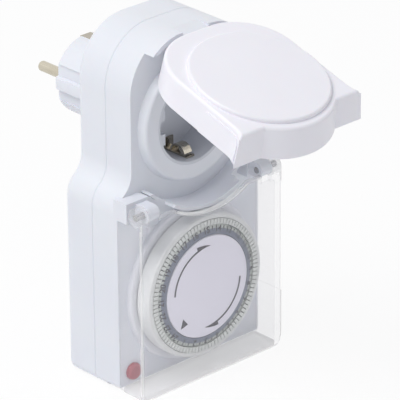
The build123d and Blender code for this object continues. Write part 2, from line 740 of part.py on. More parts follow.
def lid_grips():
    """Finger pads at the lower end of both sides, with round upper corners."""
    with BuildPart() as grips:
        with BuildSketch(lid_side_plane(0)):
            with Locations((lid_rear, lid_bottom - lid_lean + lid_pad_bottom)):
                Rectangle(lid_pad_depth, lid_pad_length, align=(Align.MIN, Align.MIN))
        extrude(amount=2 * half_lower, both=True)
        upper_corners = grips.edges().filter_by(Axis.X).group_by(Axis(lid_origin, lid_forward))[-1]
        fillet(upper_corners, radius=lid_pad_corner)
        with BuildSketch(lid_plane(lid_rear)):
            add(housing_outline(-lid_pad_height))
            add(outline_full, mode=Mode.SUBTRACT)
        extrude(amount=lid_pad_depth, mode=Mode.INTERSECT)
    return grips.part


lid_outer = lid_outline()
lid_inner = lid_outline(lid_wall)
lid_skirt = lid_flare()
lid_skirt_cavity = lid_flare(lid_wall)
lid_pads = lid_grips()
hood_side = ((half_upper - crown_radius)
             + (crown_radius ** 2 - (hood_height - top_height + crown_radius) ** 2) ** 0.5)
seal_outer = lid_seal_radius + lid_seal_width / 2
seal_inner = lid_seal_radius - lid_seal_width / 2
with BuildPart() as lid:
    with BuildSketch(lid_plane(lid_rear)):
        add(lid_outer)
    extrude(amount=lid_front - lid_rear)
    lid_face = lid.faces().sort_by(Axis(lid_origin, lid_forward))[-1]
    fillet(lid_face.edges(), radius=lid_edge_radius)
    add(lid_skirt)
    with BuildSketch(lid_plane(lid_rear)):
        add(lid_inner)
    extrude(amount=lid_front - lid_wall - lid_rear, mode=Mode.SUBTRACT)
    add(lid_skirt_cavity, mode=Mode.SUBTRACT)
    with BuildSketch(lid_plane(lid_rear)):
        with Locations((0, hood_height - 5.0)):
            Rectangle(2 * hood_side + 1.0, 100, align=(Align.CENTER, Align.MIN))
    extrude(amount=lid_top_rear - lid_rear, mode=Mode.SUBTRACT)
    # raised round field on the face
    with BuildSketch(lid_plane(lid_front - 0.4)):
        with Locations((0, lid_disc_centre)):
            Circle(lid_disc_radius)
    extrude(amount=lid_disc_height + 0.4)
    field_rim = lid.faces().sort_by(Axis(lid_origin, lid_forward))[-1].edges()
    fillet(field_rim, radius=lid_disc_edge)
    add(lid_pads)
    # ring that holds the seal
    with BuildSketch(lid_plane(lid_front - lid_wall)):
        add(ring_outline(seal_outer + 0.9, seal_inner - 0.9))
    extrude(amount=-(lid_front - lid_wall - collar_depth - 2.0))
    with BuildSketch(lid_plane(collar_depth + 2.0)):
        add(ring_outline(seal_outer + fit_gap, seal_inner - fit_gap))
    extrude(amount=lid_seal_seat, mode=Mode.SUBTRACT)
    # hinge barrel with its web
    with BuildSketch(lid_side_plane(0)):
        with Locations((lid_hinge_depth, lid_hinge_height)):
            Circle(lid_eye_radius)
            Rectangle(lid_front - lid_wall - lid_hinge_depth + 0.4, 2 * lid_eye_radius,
                      align=(Align.MIN, Align.CENTER))
    extrude(amount=lid_arm_inner - lid_arm_slack, both=True)
    with BuildSketch(lid_side_plane(0)):
        with Locations((lid_hinge_depth, lid_hinge_height)):
            Circle(lid_pin_diameter / 2 + fit_gap)
    extrude(amount=lid_arm_inner, both=True, mode=Mode.SUBTRACT)
lid.part.label = "lid"
export_step(lid.part, "parts/lid.step")

with BuildPart() as lid_seal:
    with BuildSketch(lid_plane(collar_depth + 0.3)):
        add(ring_outline(seal_outer, seal_inner))
    extrude(amount=1.7 + lid_seal_seat)
lid_seal.part.label = "lid_seal"
export_step(lid_seal.part, "parts/lid_seal.step")

with BuildPart() as lid_hinge_pin:
    with BuildSketch(side_plane(0)):
        with Locations((lid_hinge_depth, lid_hinge_height)):
            Circle(lid_pin_diameter / 2)
    extrude(amount=lid_pin_half, both=True)
lid_hinge_pin.part.label = "lid_hinge_pin"
export_step(lid_hinge_pin.part, "parts/lid_hinge_pin.step")

# ---- clear timer cover ------------------------------------------------------------
cover_bottom = bottom_height + cover_floor_gap
with BuildPart() as timer_cover:
    with BuildSketch(face_plane(cover_lip_rear)):
        add(outline_full)
        with Locations((0, cover_side_top)):
            Rectangle(4 * half_lower, beyond, align=(Align.CENTER, Align.MIN), mode=Mode.SUBTRACT)
    extrude(amount=cover_front - cover_lip_rear)
    front_edges = timer_cover.faces().sort_by(Axis.Y)[0].edges().sort_by(Axis.Z)[:-1]
    fillet(front_edges, radius=cover_edge_radius)
    with BuildSketch(face_plane(cover_front - cover_wall)):
        with Locations((0, cover_side_top - 1.0)):
            Rectangle(2 * knuckle_outer, cover_top - cover_side_top + 1.0,
                      align=(Align.CENTER, Align.MIN))
    extrude(amount=cover_wall)
    with BuildSketch(face_plane(0)):
        add(outline_inner)
    extrude(amount=cover_front - cover_wall, mode=Mode.SUBTRACT)
    # behind the front shell's face only the bottom wall goes on
    with BuildSketch(face_plane(0)):
        with Locations((0, bottom_height + cover_wall)):
            Rectangle(4 * half_lower, beyond, align=(Align.CENTER, Align.MIN))
    extrude(amount=cover_rear, mode=Mode.SUBTRACT)
    with BuildSketch(face_plane(0)):
        with Locations((0, cover_bottom)):
            Rectangle(4 * half_lower, 10, align=(Align.CENTER, Align.MAX))
    extrude(amount=cover_front, mode=Mode.SUBTRACT)
    # curved edge round the socket and gaps for the hinge lugs
    with BuildSketch(face_plane(0)):
        Circle(cover_arc_radius)
    extrude(amount=cover_front, mode=Mode.SUBTRACT)
    with BuildSketch(face_plane(0)):
        with Locations((-lug_x, cover_notch_bottom), (lug_x, cover_notch_bottom)):
            Rectangle(lug_width + 2 * knuckle_slack, 100, align=(Align.CENTER, Align.MIN))
    extrude(amount=cover_front, mode=Mode.SUBTRACT)
    # hinge knuckles
    for side in (-1, 1):
        with BuildSketch(side_plane(side * (knuckle_inner + knuckle_width / 2))):
            with Locations((cover_hinge_depth, cover_hinge_height)):
                Circle(knuckle_radius)
                Rectangle(knuckle_radius, knuckle_leg, align=(Align.MIN, Align.MAX))
        extrude(amount=knuckle_width / 2, both=True)
    with BuildSketch(side_plane(0)):
        with Locations((cover_hinge_depth, cover_hinge_height)):
            Circle(cover_pin_diameter / 2 + fit_gap)
    extrude(amount=half_lower + 1, both=True, mode=Mode.SUBTRACT)
    # thicker grips on the lower part of both sides
    with BuildSketch(side_plane(0)):
        with Locations((cover_rear + 0.4, cover_bottom + corner_radius)):
            Rectangle(cover_front - cover_rear - 0.8, grip_height - corner_radius,
                      align=(Align.MIN, Align.MIN))
    extrude(amount=half_lower + grip_step, both=True)
    with BuildSketch(side_plane(0)):
        with Locations((cover_rear - 1, cover_bottom)):
            Rectangle(cover_front - cover_rear - cover_wall + 1, grip_height + 10,
                      align=(Align.MIN, Align.MIN))
    extrude(amount=half_lower - cover_wall, both=True, mode=Mode.SUBTRACT)
timer_cover.part.label = "timer_cover"
export_step(timer_cover.part, "parts/timer_cover.step")

cover_pin_outer = knuckle_outer - cover_pin_inset
with BuildPart() as cover_hinge_pins:
    for side in (-1, 1):
        with BuildSketch(side_plane(side * (lug_inner + cover_pin_outer) / 2)):
            with Locations((cover_hinge_depth, cover_hinge_height)):
                Circle(cover_pin_diameter / 2)
        extrude(amount=(cover_pin_outer - lug_inner) / 2, both=True)
cover_hinge_pins.part.label = "cover_hinge_pins"
export_step(cover_hinge_pins.part, "parts/cover_hinge_pins.step")

# ---- timer module: bezel, plate, post and label disc -------------------------------
nose_x = nose_radius * cos(radians(nose_direction))
nose_z = nose_radius * sin(radians(nose_direction))
idler_x = (dial_gear_teeth + idler_pinion_teeth) * gear_module / 2
motor_reach = (idler_wheel_teeth + motor_pinion_teeth) * wheel_module / 2
motor_x = idler_x + motor_reach * cos(radians(motor_direction))
motor_z = motor_reach * sin(radians(motor_direction))
pillar_places = [(pillar_circle * cos(radians(turn)), pillar_circle * sin(radians(turn)))
                 for turn in pillar_directions]
with BuildPart() as timer_bezel:
    with BuildSketch(face_plane(housing_depth, z=dial_height)):
        Circle(bezel_radius)
    extrude(amount=bezel_front - housing_depth)
    fillet(timer_bezel.faces().sort_by(Axis.Y)[0].edges(), radius=1.2)
    with BuildSketch(face_plane(bezel_rear, z=dial_height)):
        add(ring_outline(bezel_spigot, bezel_spigot - spigot_wall))
        with Locations(*pillar_places):
            Circle(pillar_radius)
    extrude(amount=housing_depth - bezel_rear)
    with BuildSketch(face_plane(module_front, z=dial_height)):
        with Locations(*pillar_places):
            Circle(pillar_radius)
    extrude(amount=bezel_rear - module_front)
    with BuildSketch(face_plane(channel_floor, z=dial_height)):
        add(ring_outline(channel_outer, channel_inner))
    extrude(amount=10, mode=Mode.SUBTRACT)
    with BuildSketch(face_plane(bezel_rear, z=dial_height)):
        Circle(dial_hub_radius + 0.4)
        with Locations((nose_x, nose_z)):
            Rectangle(nose_width + 1.2, nose_width + 1.8)
    extrude(amount=10, mode=Mode.SUBTRACT)
    with BuildSketch(face_plane(module_front, z=dial_height)):
        with Locations(*pillar_places):
            Circle(pillar_hole)
        with Locations((idler_x, 0)):
            Circle(shaft_radius + fit_gap)
    extrude(amount=housing_depth + 1.4 - module_front, mode=Mode.SUBTRACT)
timer_bezel.part.label = "timer_bezel"
export_step(timer_bezel.part, "parts/timer_bezel.step")

module_rear = module_front - module_thickness
tab_height = terminal_height - dial_height + 1.5
with BuildPart() as module_plate:
    with BuildSketch(face_plane(module_rear, z=dial_height)):
        Circle(module_radius)
        with Locations((tab_centre, 0)):
            Rectangle(tab_width, tab_height, align=(Align.CENTER, Align.MIN))
        with Locations(*pillar_places):
            Circle(pillar_hole + 0.1, mode=Mode.SUBTRACT)
        with Locations((idler_x, 0)):
            Circle(shaft_radius + fit_gap, mode=Mode.SUBTRACT)
        with Locations((motor_x, motor_z)):
            Circle(motor_boss + fit_gap, mode=Mode.SUBTRACT)
        with Locations(((live_inner + live_outer) / 2, terminal_height - dial_height)):
            Rectangle(live_inner - live_outer + 0.2, strip_thickness + 0.2, mode=Mode.SUBTRACT)
        with Locations((switched_x, terminal_height - dial_height)):
            Rectangle(strip_thickness + 0.2, 2 * strip_width, align=(Align.CENTER, Align.CENTER),
                      mode=Mode.SUBTRACT)
    extrude(amount=module_thickness)
module_plate.part.label = "module_plate"
export_step(module_plate.part, "parts/module_plate.step")

with BuildPart() as centre_post:
    with BuildSketch(face_plane(module_front, z=dial_height)):
        Circle(post_radius)
    extrude(amount=label_front - label_thickness - module_front)
    with BuildSketch(face_plane(module_front, z=dial_height)):
        Circle(post_radius + 2.0)
    extrude(amount=1.6)
centre_post.part.label = "centre_post"
export_step(centre_post.part, "parts/centre_post.step")

with BuildPart() as label_disc:
    with BuildSketch(face_plane(label_front - label_thickness, z=dial_height)):
        Circle(label_radius)
    extrude(amount=label_thickness)
    chamfer(label_disc.faces().sort_by(Axis.Y)[0].edges(), length=0.3)
label_disc.part.label = "label_disc"
export_step(label_disc.part, "parts/label_disc.step")

# ---- dial with its gear, rim, tappet guide and tappets ------------------------------
with BuildPart() as dial:
    with BuildSketch(radial_plane(dial_height)):
        with BuildLine():
            Polyline((post_radius + post_clearance, gear_front), (dial_hub_radius, gear_front),
                     (dial_hub_radius, dial_rear), (scale_outer, dial_rear),
                     (scale_outer, dial_front - scale_fall - 0.3),
                     (scale_outer - 0.3, dial_front - scale_fall), (scale_inner, dial_front),
                     (scale_inner, dial_web), (dial_hub_radius, dial_web),
                     (dial_hub_radius, dial_web + 3.0), (post_radius + post_clearance, dial_web + 3.0),
                     close=True)
        make_face()
    revolve(axis=turn_axis(dial_height))
dial.part.label = "dial"
export_step(dial.part, "parts/dial.step")

with BuildPart() as dial_gear:
    with BuildSketch(face_plane(gear_front - gear_face, z=dial_height)):
        add(gear_outline(dial_gear_teeth, gear_module, 0))
        Circle(post_radius + post_clearance, mode=Mode.SUBTRACT)
    extrude(amount=gear_face)
dial_gear.part.label = "dial_gear"
export_step(dial_gear.part, "parts/dial_gear.step")

with BuildPart() as dial_rim:
    with BuildSketch(radial_plane(dial_height)):
        with BuildLine():
            Polyline((rim_inner, rim_rear), (rim_outer, rim_rear), (rim_outer, rim_front - 1.2),
                     (rim_outer - 0.35, rim_front - 0.35), (rim_outer - 1.2, rim_front),
                     (rim_inner, rim_front), close=True)
        make_face()
    revolve(axis=turn_axis(dial_height))
dial_rim.part.label = "dial_rim"
export_step(dial_rim.part, "parts/dial_rim.step")

tappet_step = 360 / tappet_count
tappet_middle = (tappet_inner + tappet_outer) / 2
tappet_width = 2 * pi * tappet_inner / tappet_count - tappet_gap
tail_length = tappet_outer - tappet_inner - 0.7
tail_width = 1.0
with BuildPart() as tappet_guide:
    with BuildSketch(face_plane(guide_rear, z=dial_height)):
        add(ring_outline(rim_inner, scale_outer))
        with PolarLocations(tappet_middle, tappet_count):
            Rectangle(tail_length + tail_gap, tail_width + tail_gap, mode=Mode.SUBTRACT)
    extrude(amount=guide_front - guide_rear)
tappet_guide.part.label = "tappet_guide"
export_step(tappet_guide.part, "parts/tappet_guide.step")


def tappet_row(first, count):
    """Heads and tails of neighbouring tappets, raised to their free position."""
    with BuildPart(mode=Mode.PRIVATE) as row:
        with BuildSketch(face_plane(tappet_head, z=dial_height)):
            with PolarLocations(tappet_middle, count, start_angle=first * tappet_step,
                                angular_range=count * tappet_step):
                Rectangle(tappet_outer - tappet_inner, tappet_width)
        extrude(amount=tappet_front - tappet_head)
        with BuildSketch(face_plane(tappet_tail, z=dial_height)):
            with PolarLocations(tappet_middle, count, start_angle=first * tappet_step,
                                angular_range=count * tappet_step):
                Rectangle(tail_length, tail_width)
        extrude(amount=tappet_head - tappet_tail)
    return row.part


tappets = tappet_row(set_first + set_count, tappet_count - set_count)
tappets.label = "tappets"
export_step(tappets, "parts/tappets.step")
set_tappets = tappet_row(set_first, set_count)
set_tappets.label = "set_tappets"
export_step(set_tappets, "parts/set_tappets.step")

# ---- drive: motor, pinion, idler ------------------------------------------------------
wheel_rear = module_front + gear_clearance
half_pitch = 180 / idler_pinion_teeth
wheel_start = motor_direction % (360 / idler_wheel_teeth)
pinion_start = (motor_direction + 180 + 180 / motor_pinion_teeth) % (360 / motor_pinion_teeth)
with BuildPart() as idler_gear:
    with BuildSketch(face_plane(wheel_rear, idler_x, dial_height)):
        add(gear_outline(idler_wheel_teeth, wheel_module, wheel_start))
    extrude(amount=gear_face)
    with BuildSketch(face_plane(wheel_rear + gear_face, idler_x, dial_height)):
        add(gear_outline(idler_pinion_teeth, gear_module, half_pitch))
    extrude(amount=gear_front - wheel_rear - gear_face)
    with BuildSketch(face_plane(wheel_rear, idler_x, dial_height)):
        Circle(shaft_radius + fit_gap)
    extrude(amount=10, mode=Mode.SUBTRACT)
idler_gear.part.label = "idler_gear"
export_step(idler_gear.part, "parts/idler_gear.step")

with BuildPart() as idler_shaft:
    with BuildSketch(face_plane(module_rear, idler_x, dial_height)):
        Circle(shaft_radius)
    extrude(amount=housing_depth + 1.2 - module_rear)
idler_shaft.part.label = "idler_shaft"
export_step(idler_shaft.part, "parts/idler_shaft.step")

with BuildPart() as motor:
    with BuildSketch(face_plane(module_rear - motor_length, motor_x, dial_height + motor_z)):
        Circle(motor_radius)
    extrude(amount=motor_length)
    fillet(motor.faces().sort_by(Axis.Y)[-1].edges(), radius=1.0)
    with BuildSketch(face_plane(module_rear - 1.0, motor_x, dial_height + motor_z)):
        SlotCenterToCenter(2 * motor_radius + 5.0, 6.0, rotation=45)
    extrude(amount=1.0)
    with BuildSketch(face_plane(module_rear, motor_x, dial_height + motor_z)):
        Circle(motor_boss)
    extrude(amount=module_thickness)
    with BuildSketch(face_plane(module_front, motor_x, dial_height + motor_z)):
        Circle(shaft_radius + fit_gap)
    extrude(amount=-motor_shaft_depth - 0.1, mode=Mode.SUBTRACT)
motor.part.label = "motor"
export_step(motor.part, "parts/motor.step")

with BuildPart() as motor_pinion:
    with BuildSketch(face_plane(wheel_rear, motor_x, dial_height + motor_z)):
        add(gear_outline(motor_pinion_teeth, wheel_module, pinion_start))
    extrude(amount=gear_face)
    with BuildSketch(face_plane(module_front - motor_shaft_depth, motor_x, dial_height + motor_z)):
        Circle(shaft_radius)
    extrude(amount=motor_shaft_depth + gear_clearance)
motor_pinion.part.label = "motor_pinion"
export_step(motor_pinion.part, "parts/motor_pinion.step")

# ---- switch: lever, bracket, shaft and the two contacts --------------------------------
lever_x = nose_x
lever_rear = lever_depth - lever_thickness / 2
with BuildPart() as switch_lever:
    with BuildSketch(face_plane(lever_rear)):
        with Locations((lever_x, lever_top)):
            Rectangle(2 * lever_half_width, lever_top - dial_height - nose_z + nose_width,
                      align=(Align.CENTER, Align.MAX))
    extrude(amount=lever_thickness)
    with BuildSketch(side_plane(lever_x)):
        with Locations((lever_depth, lever_pivot_height)):
            Circle(lever_eye)
    extrude(amount=lever_half_width, both=True)
    with BuildSketch(face_plane(lever_depth, nose_x, dial_height + nose_z)):
        Rectangle(nose_width, nose_width)
    extrude(amount=nose_front - lever_depth)
    nose_tip = switch_lever.faces().sort_by(Axis.Y)[0].edges()
    fillet(nose_tip, radius=0.8)
    with BuildSketch(side_plane(lever_x)):
        with Locations((lever_depth, lever_pivot_height)):
            Circle(shaft_radius + fit_gap)
    extrude(amount=2 * lever_half_width, both=True, mode=Mode.SUBTRACT)
switch_lever.part.label = "switch_lever"
export_step(switch_lever.part, "parts/switch_lever.step")

cheek_x = lever_half_width + bracket_gap + bracket_wall / 2
with BuildPart() as lever_bracket:
    for side in (-1, 1):
        with BuildSketch(side_plane(lever_x + side * cheek_x)):
            with Locations((module_front, lever_pivot_height)):
                Rectangle(lever_depth - module_front + 1.8, 5.0, align=(Align.MIN, Align.CENTER))
            with Locations((lever_depth, lever_pivot_height)):
                Circle(shaft_radius + fit_gap, mode=Mode.SUBTRACT)
        extrude(amount=bracket_wall / 2, both=True)
lever_bracket.part.label = "lever_bracket"
export_step(lever_bracket.part, "parts/lever_bracket.step")

with BuildPart() as lever_shaft:
    with BuildSketch(side_plane(lever_x)):
        with Locations((lever_depth, lever_pivot_height)):
            Circle(shaft_radius)
    extrude(amount=cheek_x + bracket_wall / 2, both=True)
lever_shaft.part.label = "lever_shaft"
export_step(lever_shaft.part, "parts/lever_shaft.step")

leaf_depth = lever_rear + lever_thickness + leaf_gap
with BuildPart() as moving_contact:
    with BuildSketch(side_plane(lever_x)):
        with BuildLine() as leaf_route:
            Polyline((module_front, terminal_height - 0.2), (leaf_depth, terminal_height - 0.2),
                     (leaf_depth, lever_top - 3.4))
        trace(leaf_route.line, line_width=leaf_thickness)
    extrude(amount=contact_half_width, both=True)
    with BuildSketch(face_plane(module_front)):
        with Locations((lever_x, terminal_height)):
            Rectangle(switched_x - lever_x - strip_thickness / 2, strip_thickness,
                      align=(Align.MIN, Align.CENTER))
    extrude(amount=strip_thickness)
moving_contact.part.label = "moving_contact"
export_step(moving_contact.part, "parts/moving_contact.step")

with BuildPart() as fixed_contact:
    with BuildSketch(face_plane(fixed_depth)):
        with Locations((lever_x - contact_half_width, lever_top - 3.4)):
            Rectangle(live_inner - lever_x + contact_half_width, strip_width * 0.7,
                      align=(Align.MIN, Align.MIN))
        with Locations((live_inner, lever_top - 3.4)):
            Rectangle(live_inner - live_outer, terminal_height - lever_top + 3.4 + strip_thickness / 2,
                      align=(Align.MAX, Align.MIN))
    extrude(amount=strip_thickness)
    with BuildSketch(face_plane(terminal_depth)):
        with Locations(((live_inner + live_outer) / 2, terminal_height)):
            Rectangle(live_inner - live_outer, strip_thickness)
    extrude(amount=fixed_depth - terminal_depth)
    with BuildSketch(face_plane(fixed_depth, lever_x, lever_top - 1.6)):
        Circle(1.3)
    extrude(amount=-rivet_height)
fixed_contact.part.label = "fixed_contact"
export_step(fixed_contact.part, "parts/fixed_contact.step")

# ---- lamp, lens and screws ----------------------------------------------------------------
with BuildPart() as indicator_lens:
    with BuildSketch(face_plane(housing_depth - wall - 2.0, lens_x, lens_z)):
        Circle(lens_barrel)
    extrude(amount=wall + 2.0)
    with BuildSketch(face_plane(housing_depth, lens_x, lens_z)):
        Circle(lens_radius)
    extrude(amount=2.2)
    fillet(indicator_lens.faces().sort_by(Axis.Y)[0].edges(), radius=1.6)
    with BuildSketch(face_plane(0, lens_x, lens_z)):
        Circle(lamp_radius + 0.3)
    extrude(amount=housing_depth + 0.6, mode=Mode.SUBTRACT)
indicator_lens.part.label = "indicator_lens"
export_step(indicator_lens.part, "parts/indicator_lens.step")

with BuildPart() as neon_lamp:
    with BuildSketch(face_plane(housing_depth - 9.0, lens_x, lens_z)):
        Circle(lamp_radius)
    extrude(amount=9.0)
    fillet(neon_lamp.faces().sort_by(Axis.Y)[0].edges(), radius=1.2)
neon_lamp.part.label = "neon_lamp"
export_step(neon_lamp.part, "parts/neon_lamp.step")

with BuildPart() as housing_screws:
    with BuildSketch(face_plane(screw_recess)):
        with Locations(*screw_places):
            Circle(screw_diameter / 2)
    extrude(amount=screw_length)
    with BuildSketch(face_plane(screw_recess)):
        with Locations(*screw_places):
            Circle(screw_head_diameter / 2)
    extrude(amount=-screw_head_height)
    with BuildSketch(face_plane(screw_recess - screw_head_height)):
        with Locations(*screw_places):
            Rectangle(screw_slot_length, screw_slot_width)
            Rectangle(screw_slot_width, screw_slot_length)
    extrude(amount=screw_slot_depth, mode=Mode.SUBTRACT)
housing_screws.part.label = "housing_screws"
export_step(housing_screws.part, "parts/housing_screws.step")

with BuildPart() as module_screws:
    with BuildSketch(face_plane(module_rear, z=dial_height)):
        with Locations(*pillar_places):
            Circle(pillar_hole - fit_gap)
    extrude(amount=module_screw_length)
    with BuildSketch(face_plane(module_rear, z=dial_height)):
        with Locations(*pillar_places):
            Circle(pillar_hole + module_head_rim)
    extrude(amount=-module_head_height)
module_screws.part.label = "module_screws"
export_step(module_screws.part, "parts/module_screws.step")
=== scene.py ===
import json
import math

import bpy
import numpy as np
from mathutils import Matrix, Vector


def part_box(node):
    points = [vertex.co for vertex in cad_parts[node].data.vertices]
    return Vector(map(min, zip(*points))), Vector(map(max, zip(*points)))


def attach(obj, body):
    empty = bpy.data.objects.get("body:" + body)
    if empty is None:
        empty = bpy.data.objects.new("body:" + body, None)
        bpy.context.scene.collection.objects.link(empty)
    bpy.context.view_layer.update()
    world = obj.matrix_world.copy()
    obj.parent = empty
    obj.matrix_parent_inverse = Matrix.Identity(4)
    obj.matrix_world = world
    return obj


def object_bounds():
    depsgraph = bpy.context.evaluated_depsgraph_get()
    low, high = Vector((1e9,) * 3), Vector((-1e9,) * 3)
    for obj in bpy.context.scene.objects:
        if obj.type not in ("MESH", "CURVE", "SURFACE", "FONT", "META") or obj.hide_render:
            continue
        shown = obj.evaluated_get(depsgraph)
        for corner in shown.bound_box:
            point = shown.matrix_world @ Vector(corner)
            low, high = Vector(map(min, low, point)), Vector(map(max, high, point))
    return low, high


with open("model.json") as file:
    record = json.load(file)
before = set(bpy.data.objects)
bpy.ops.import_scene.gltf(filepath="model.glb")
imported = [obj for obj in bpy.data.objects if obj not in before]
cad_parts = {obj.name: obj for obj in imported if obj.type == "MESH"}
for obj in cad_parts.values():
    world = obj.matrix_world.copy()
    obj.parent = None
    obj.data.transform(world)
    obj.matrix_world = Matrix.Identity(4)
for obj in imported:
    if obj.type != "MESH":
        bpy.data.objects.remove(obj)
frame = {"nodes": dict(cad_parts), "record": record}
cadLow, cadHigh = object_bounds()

nodes = frame["nodes"]
print("timer: frame loaded,", len(nodes), "CAD nodes")


# small helpers

def span(node):
    low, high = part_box(node)
    return np.array(low), np.array(high)


def newObject(name, points, faces, material):
    # points is a list of places, faces a list of lists of their indices
    mesh = bpy.data.meshes.new(name)
    mesh.from_pydata(points, [], faces)
    mesh.update()
    mesh.materials.append(material)
    piece = bpy.data.objects.new(name, mesh)
    bpy.context.collection.objects.link(piece)
    return piece


def meshPiece(name, points, faces, body, material):
    # points is an array that ends in x, y and z, faces has a row of indices for each face
    piece = newObject(name, points.reshape(-1, 3).tolist(), faces.tolist(), material)
    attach(piece, body)
    return piece


def quadRows(rows, columns, first=0):
    # the quads of one rows x columns grid of points, its index starting at first
    r, c = np.meshgrid(np.arange(rows - 1), np.arange(columns - 1), indexing="ij")
    a = (first + r * columns + c).ravel()
    return np.stack([a, a + 1, a + columns + 1, a + columns], 1)


# camera

cameraSettings = {
    "azimuth": -42.2,       # degrees, round the object from its front
    "elevation": 24.37,
    "roll": -0.69,
    "distance": 1.5755,     # metres from the aim point
    "aim": (0.0, -0.05, -0.03),
    "aimPixel": (162.2, 166.5),   # where the aim point lies in the picture
    "pictureSide": 400,     # pixels
    "focal": 3600.0,        # pixels of that picture
    "sensor": 36.0,         # millimetres
    "clip": (0.05, 30.0),
}


def makeCamera(s):
    # back points from the object to the camera, right and up span the picture
    a, e, r = (math.radians(s[k]) for k in ("azimuth", "elevation", "roll"))
    back = Vector((math.sin(a) * math.cos(e), -math.cos(a) * math.cos(e), math.sin(e)))
    right = Vector((math.cos(a), math.sin(a), 0.0))
    up = back.cross(right)
    place = Vector(s["aim"]) + back * s["distance"]
    # the picture's middle is turned away from the aim point instead of shifting the lens
    middle = s["pictureSide"] / 2
    dx, dy = middle - s["aimPixel"][0], middle - s["aimPixel"][1]
    px = math.cos(r) * dx + math.sin(r) * dy
    py = -math.sin(r) * dx + math.cos(r) * dy
    look = (right * px - up * py - back * s["focal"]).normalized()
    side = math.cos(r) * right + math.sin(r) * up
    side = (side - look * side.dot(look)).normalized()
    top = side.cross(look)
    data = bpy.data.cameras.new("camera")
    data.sensor_width = s["sensor"]
    data.lens = s["focal"] / s["pictureSide"] * s["sensor"]
    data.clip_start, data.clip_end = s["clip"]
    camera = bpy.data.objects.new("camera", data)
    camera.matrix_world = Matrix((
        (side.x, top.x, -look.x, place.x), (side.y, top.y, -look.y, place.y),
        (side.z, top.z, -look.z, place.z), (0, 0, 0, 1)))
    bpy.context.collection.objects.link(camera)
    bpy.context.scene.camera = camera


makeCamera(cameraSettings)
print("timer: camera placed")


# node tools and shared effects

def add(tree, kind, inputs=None, **values):
    node = tree.nodes.new(kind)
    for key, value in values.items():
        setattr(node, key, value)
    for key, value in (inputs or {}).items():
        if isinstance(value, bpy.types.NodeSocket):
            tree.links.new(value, node.inputs[key])
        else:
            node.inputs[key].default_value = value
    return node


def rgb(values):
    return (*values, 1.0)


def ramp(tree, value, low, high):
    # 0 at low, 1 at high, level beyond them
    return add(tree, "ShaderNodeMapRange", {
        "Value": value, "From Min": low, "From Max": high}).outputs["Result"]


def both(tree, first, second, operation):
    return add(tree, "ShaderNodeMath", {0: first, 1: second}, operation=operation).outputs["Value"]


def mixed(tree, mask, first, second):
    # a colour, first where the mask is 0 and second where it is 1
    return add(tree, "ShaderNodeMix", {0: mask, 6: first, 7: second}, data_type="RGBA").outputs[2]


def blendOf(tree, mask, pair):
    # the first of the pair where the mask is 0, the second where it is 1
    return add(tree, "ShaderNodeMapRange", {
        "Value": mask, "To Min": pair[0], "To Max": pair[1]}).outputs["Result"]


def newGroup(name, inputs, outputs):
    group = bpy.data.node_groups.new(name, "ShaderNodeTree")
    for label, kind, value in inputs:
        socket = group.interface.new_socket(label, in_out="INPUT", socket_type=kind)
        socket.default_value = value
    for label, kind in outputs:
        group.interface.new_socket(label, in_out="OUTPUT", socket_type=kind)
    return group, add(group, "NodeGroupInput"), add(group, "NodeGroupOutput")


def makeMoulding():
    # spark-eroded mould texture: fine noise for height, slow clouds for gloss and tone
    number, colour = "NodeSocketFloat", "NodeSocketColor"
    group, given, result = newGroup(
        "mouldedSurface",
        [("Color", colour, (0.8, 0.8, 0.8, 1)), ("Shade", colour, (0.7, 0.7, 0.7, 1)),
         ("Grain Scale", number, 2200.0), ("Cloud Scale", number, 28.0),
         ("Rough Low", number, 0.3), ("Rough High", number, 0.4)],
        [("Color", colour), ("Roughness", number), ("Height", number)])
    place = add(group, "ShaderNodeTexCoord")
    grain = add(group, "ShaderNodeTexNoise", {
        "Vector": place.outputs["Object"], "Scale": given.outputs["Grain Scale"],
        "Detail": 2.0, "Roughness": 0.6})
    clouds = add(group, "ShaderNodeTexNoise", {
        "Vector": place.outputs["Object"], "Scale": given.outputs["Cloud Scale"],
        "Detail": 3.0, "Roughness": 0.5})
    gloss = add(group, "ShaderNodeMapRange", {
        "Value": clouds.outputs["Fac"], "From Min": 0.3, "From Max": 0.7,
        "To Min": given.outputs["Rough Low"], "To Max": given.outputs["Rough High"]})
    depth = add(group, "ShaderNodeMapRange", {
        "Value": clouds.outputs["Fac"], "From Min": 0.35, "From Max": 0.75})
    tone = mixed(group, depth.outputs["Result"], given.outputs["Color"], given.outputs["Shade"])
    group.links.new(tone, result.inputs["Color"])
    group.links.new(gloss.outputs["Result"], result.inputs["Roughness"])
    group.links.new(grain.outputs["Fac"], result.inputs["Height"])
    return group


def makeDrawnMetal():
    # fine lines along one axis, from noise squeezed across the others
    number, vector = "NodeSocketFloat", "NodeSocketVector"
    group, given, result = newGroup(
        "drawnMetal",
        [("Stretch", vector, (900.0, 60.0, 900.0)), ("Rough Low", number, 0.2),
         ("Rough High", number, 0.4)],
        [("Roughness", number), ("Height", number), ("Stain", number)])
    place = add(group, "ShaderNodeTexCoord")
    squeezed = add(group, "ShaderNodeVectorMath", {
        0: place.outputs["Object"], 1: given.outputs["Stretch"]}, operation="MULTIPLY")
    lines = add(group, "ShaderNodeTexNoise", {
        "Vector": squeezed.outputs["Vector"], "Scale": 1.0, "Detail": 3.0})
    stain = add(group, "ShaderNodeTexNoise", {
        "Vector": place.outputs["Object"], "Scale": 180.0, "Detail": 2.0})
    rough = add(group, "ShaderNodeMapRange", {
        "Value": lines.outputs["Fac"], "From Min": 0.3, "From Max": 0.7,
        "To Min": given.outputs["Rough Low"], "To Max": given.outputs["Rough High"]})
    group.links.new(rough.outputs["Result"], result.inputs["Roughness"])
    group.links.new(lines.outputs["Fac"], result.inputs["Height"])
    group.links.new(stain.outputs["Fac"], result.inputs["Stain"])
    return group


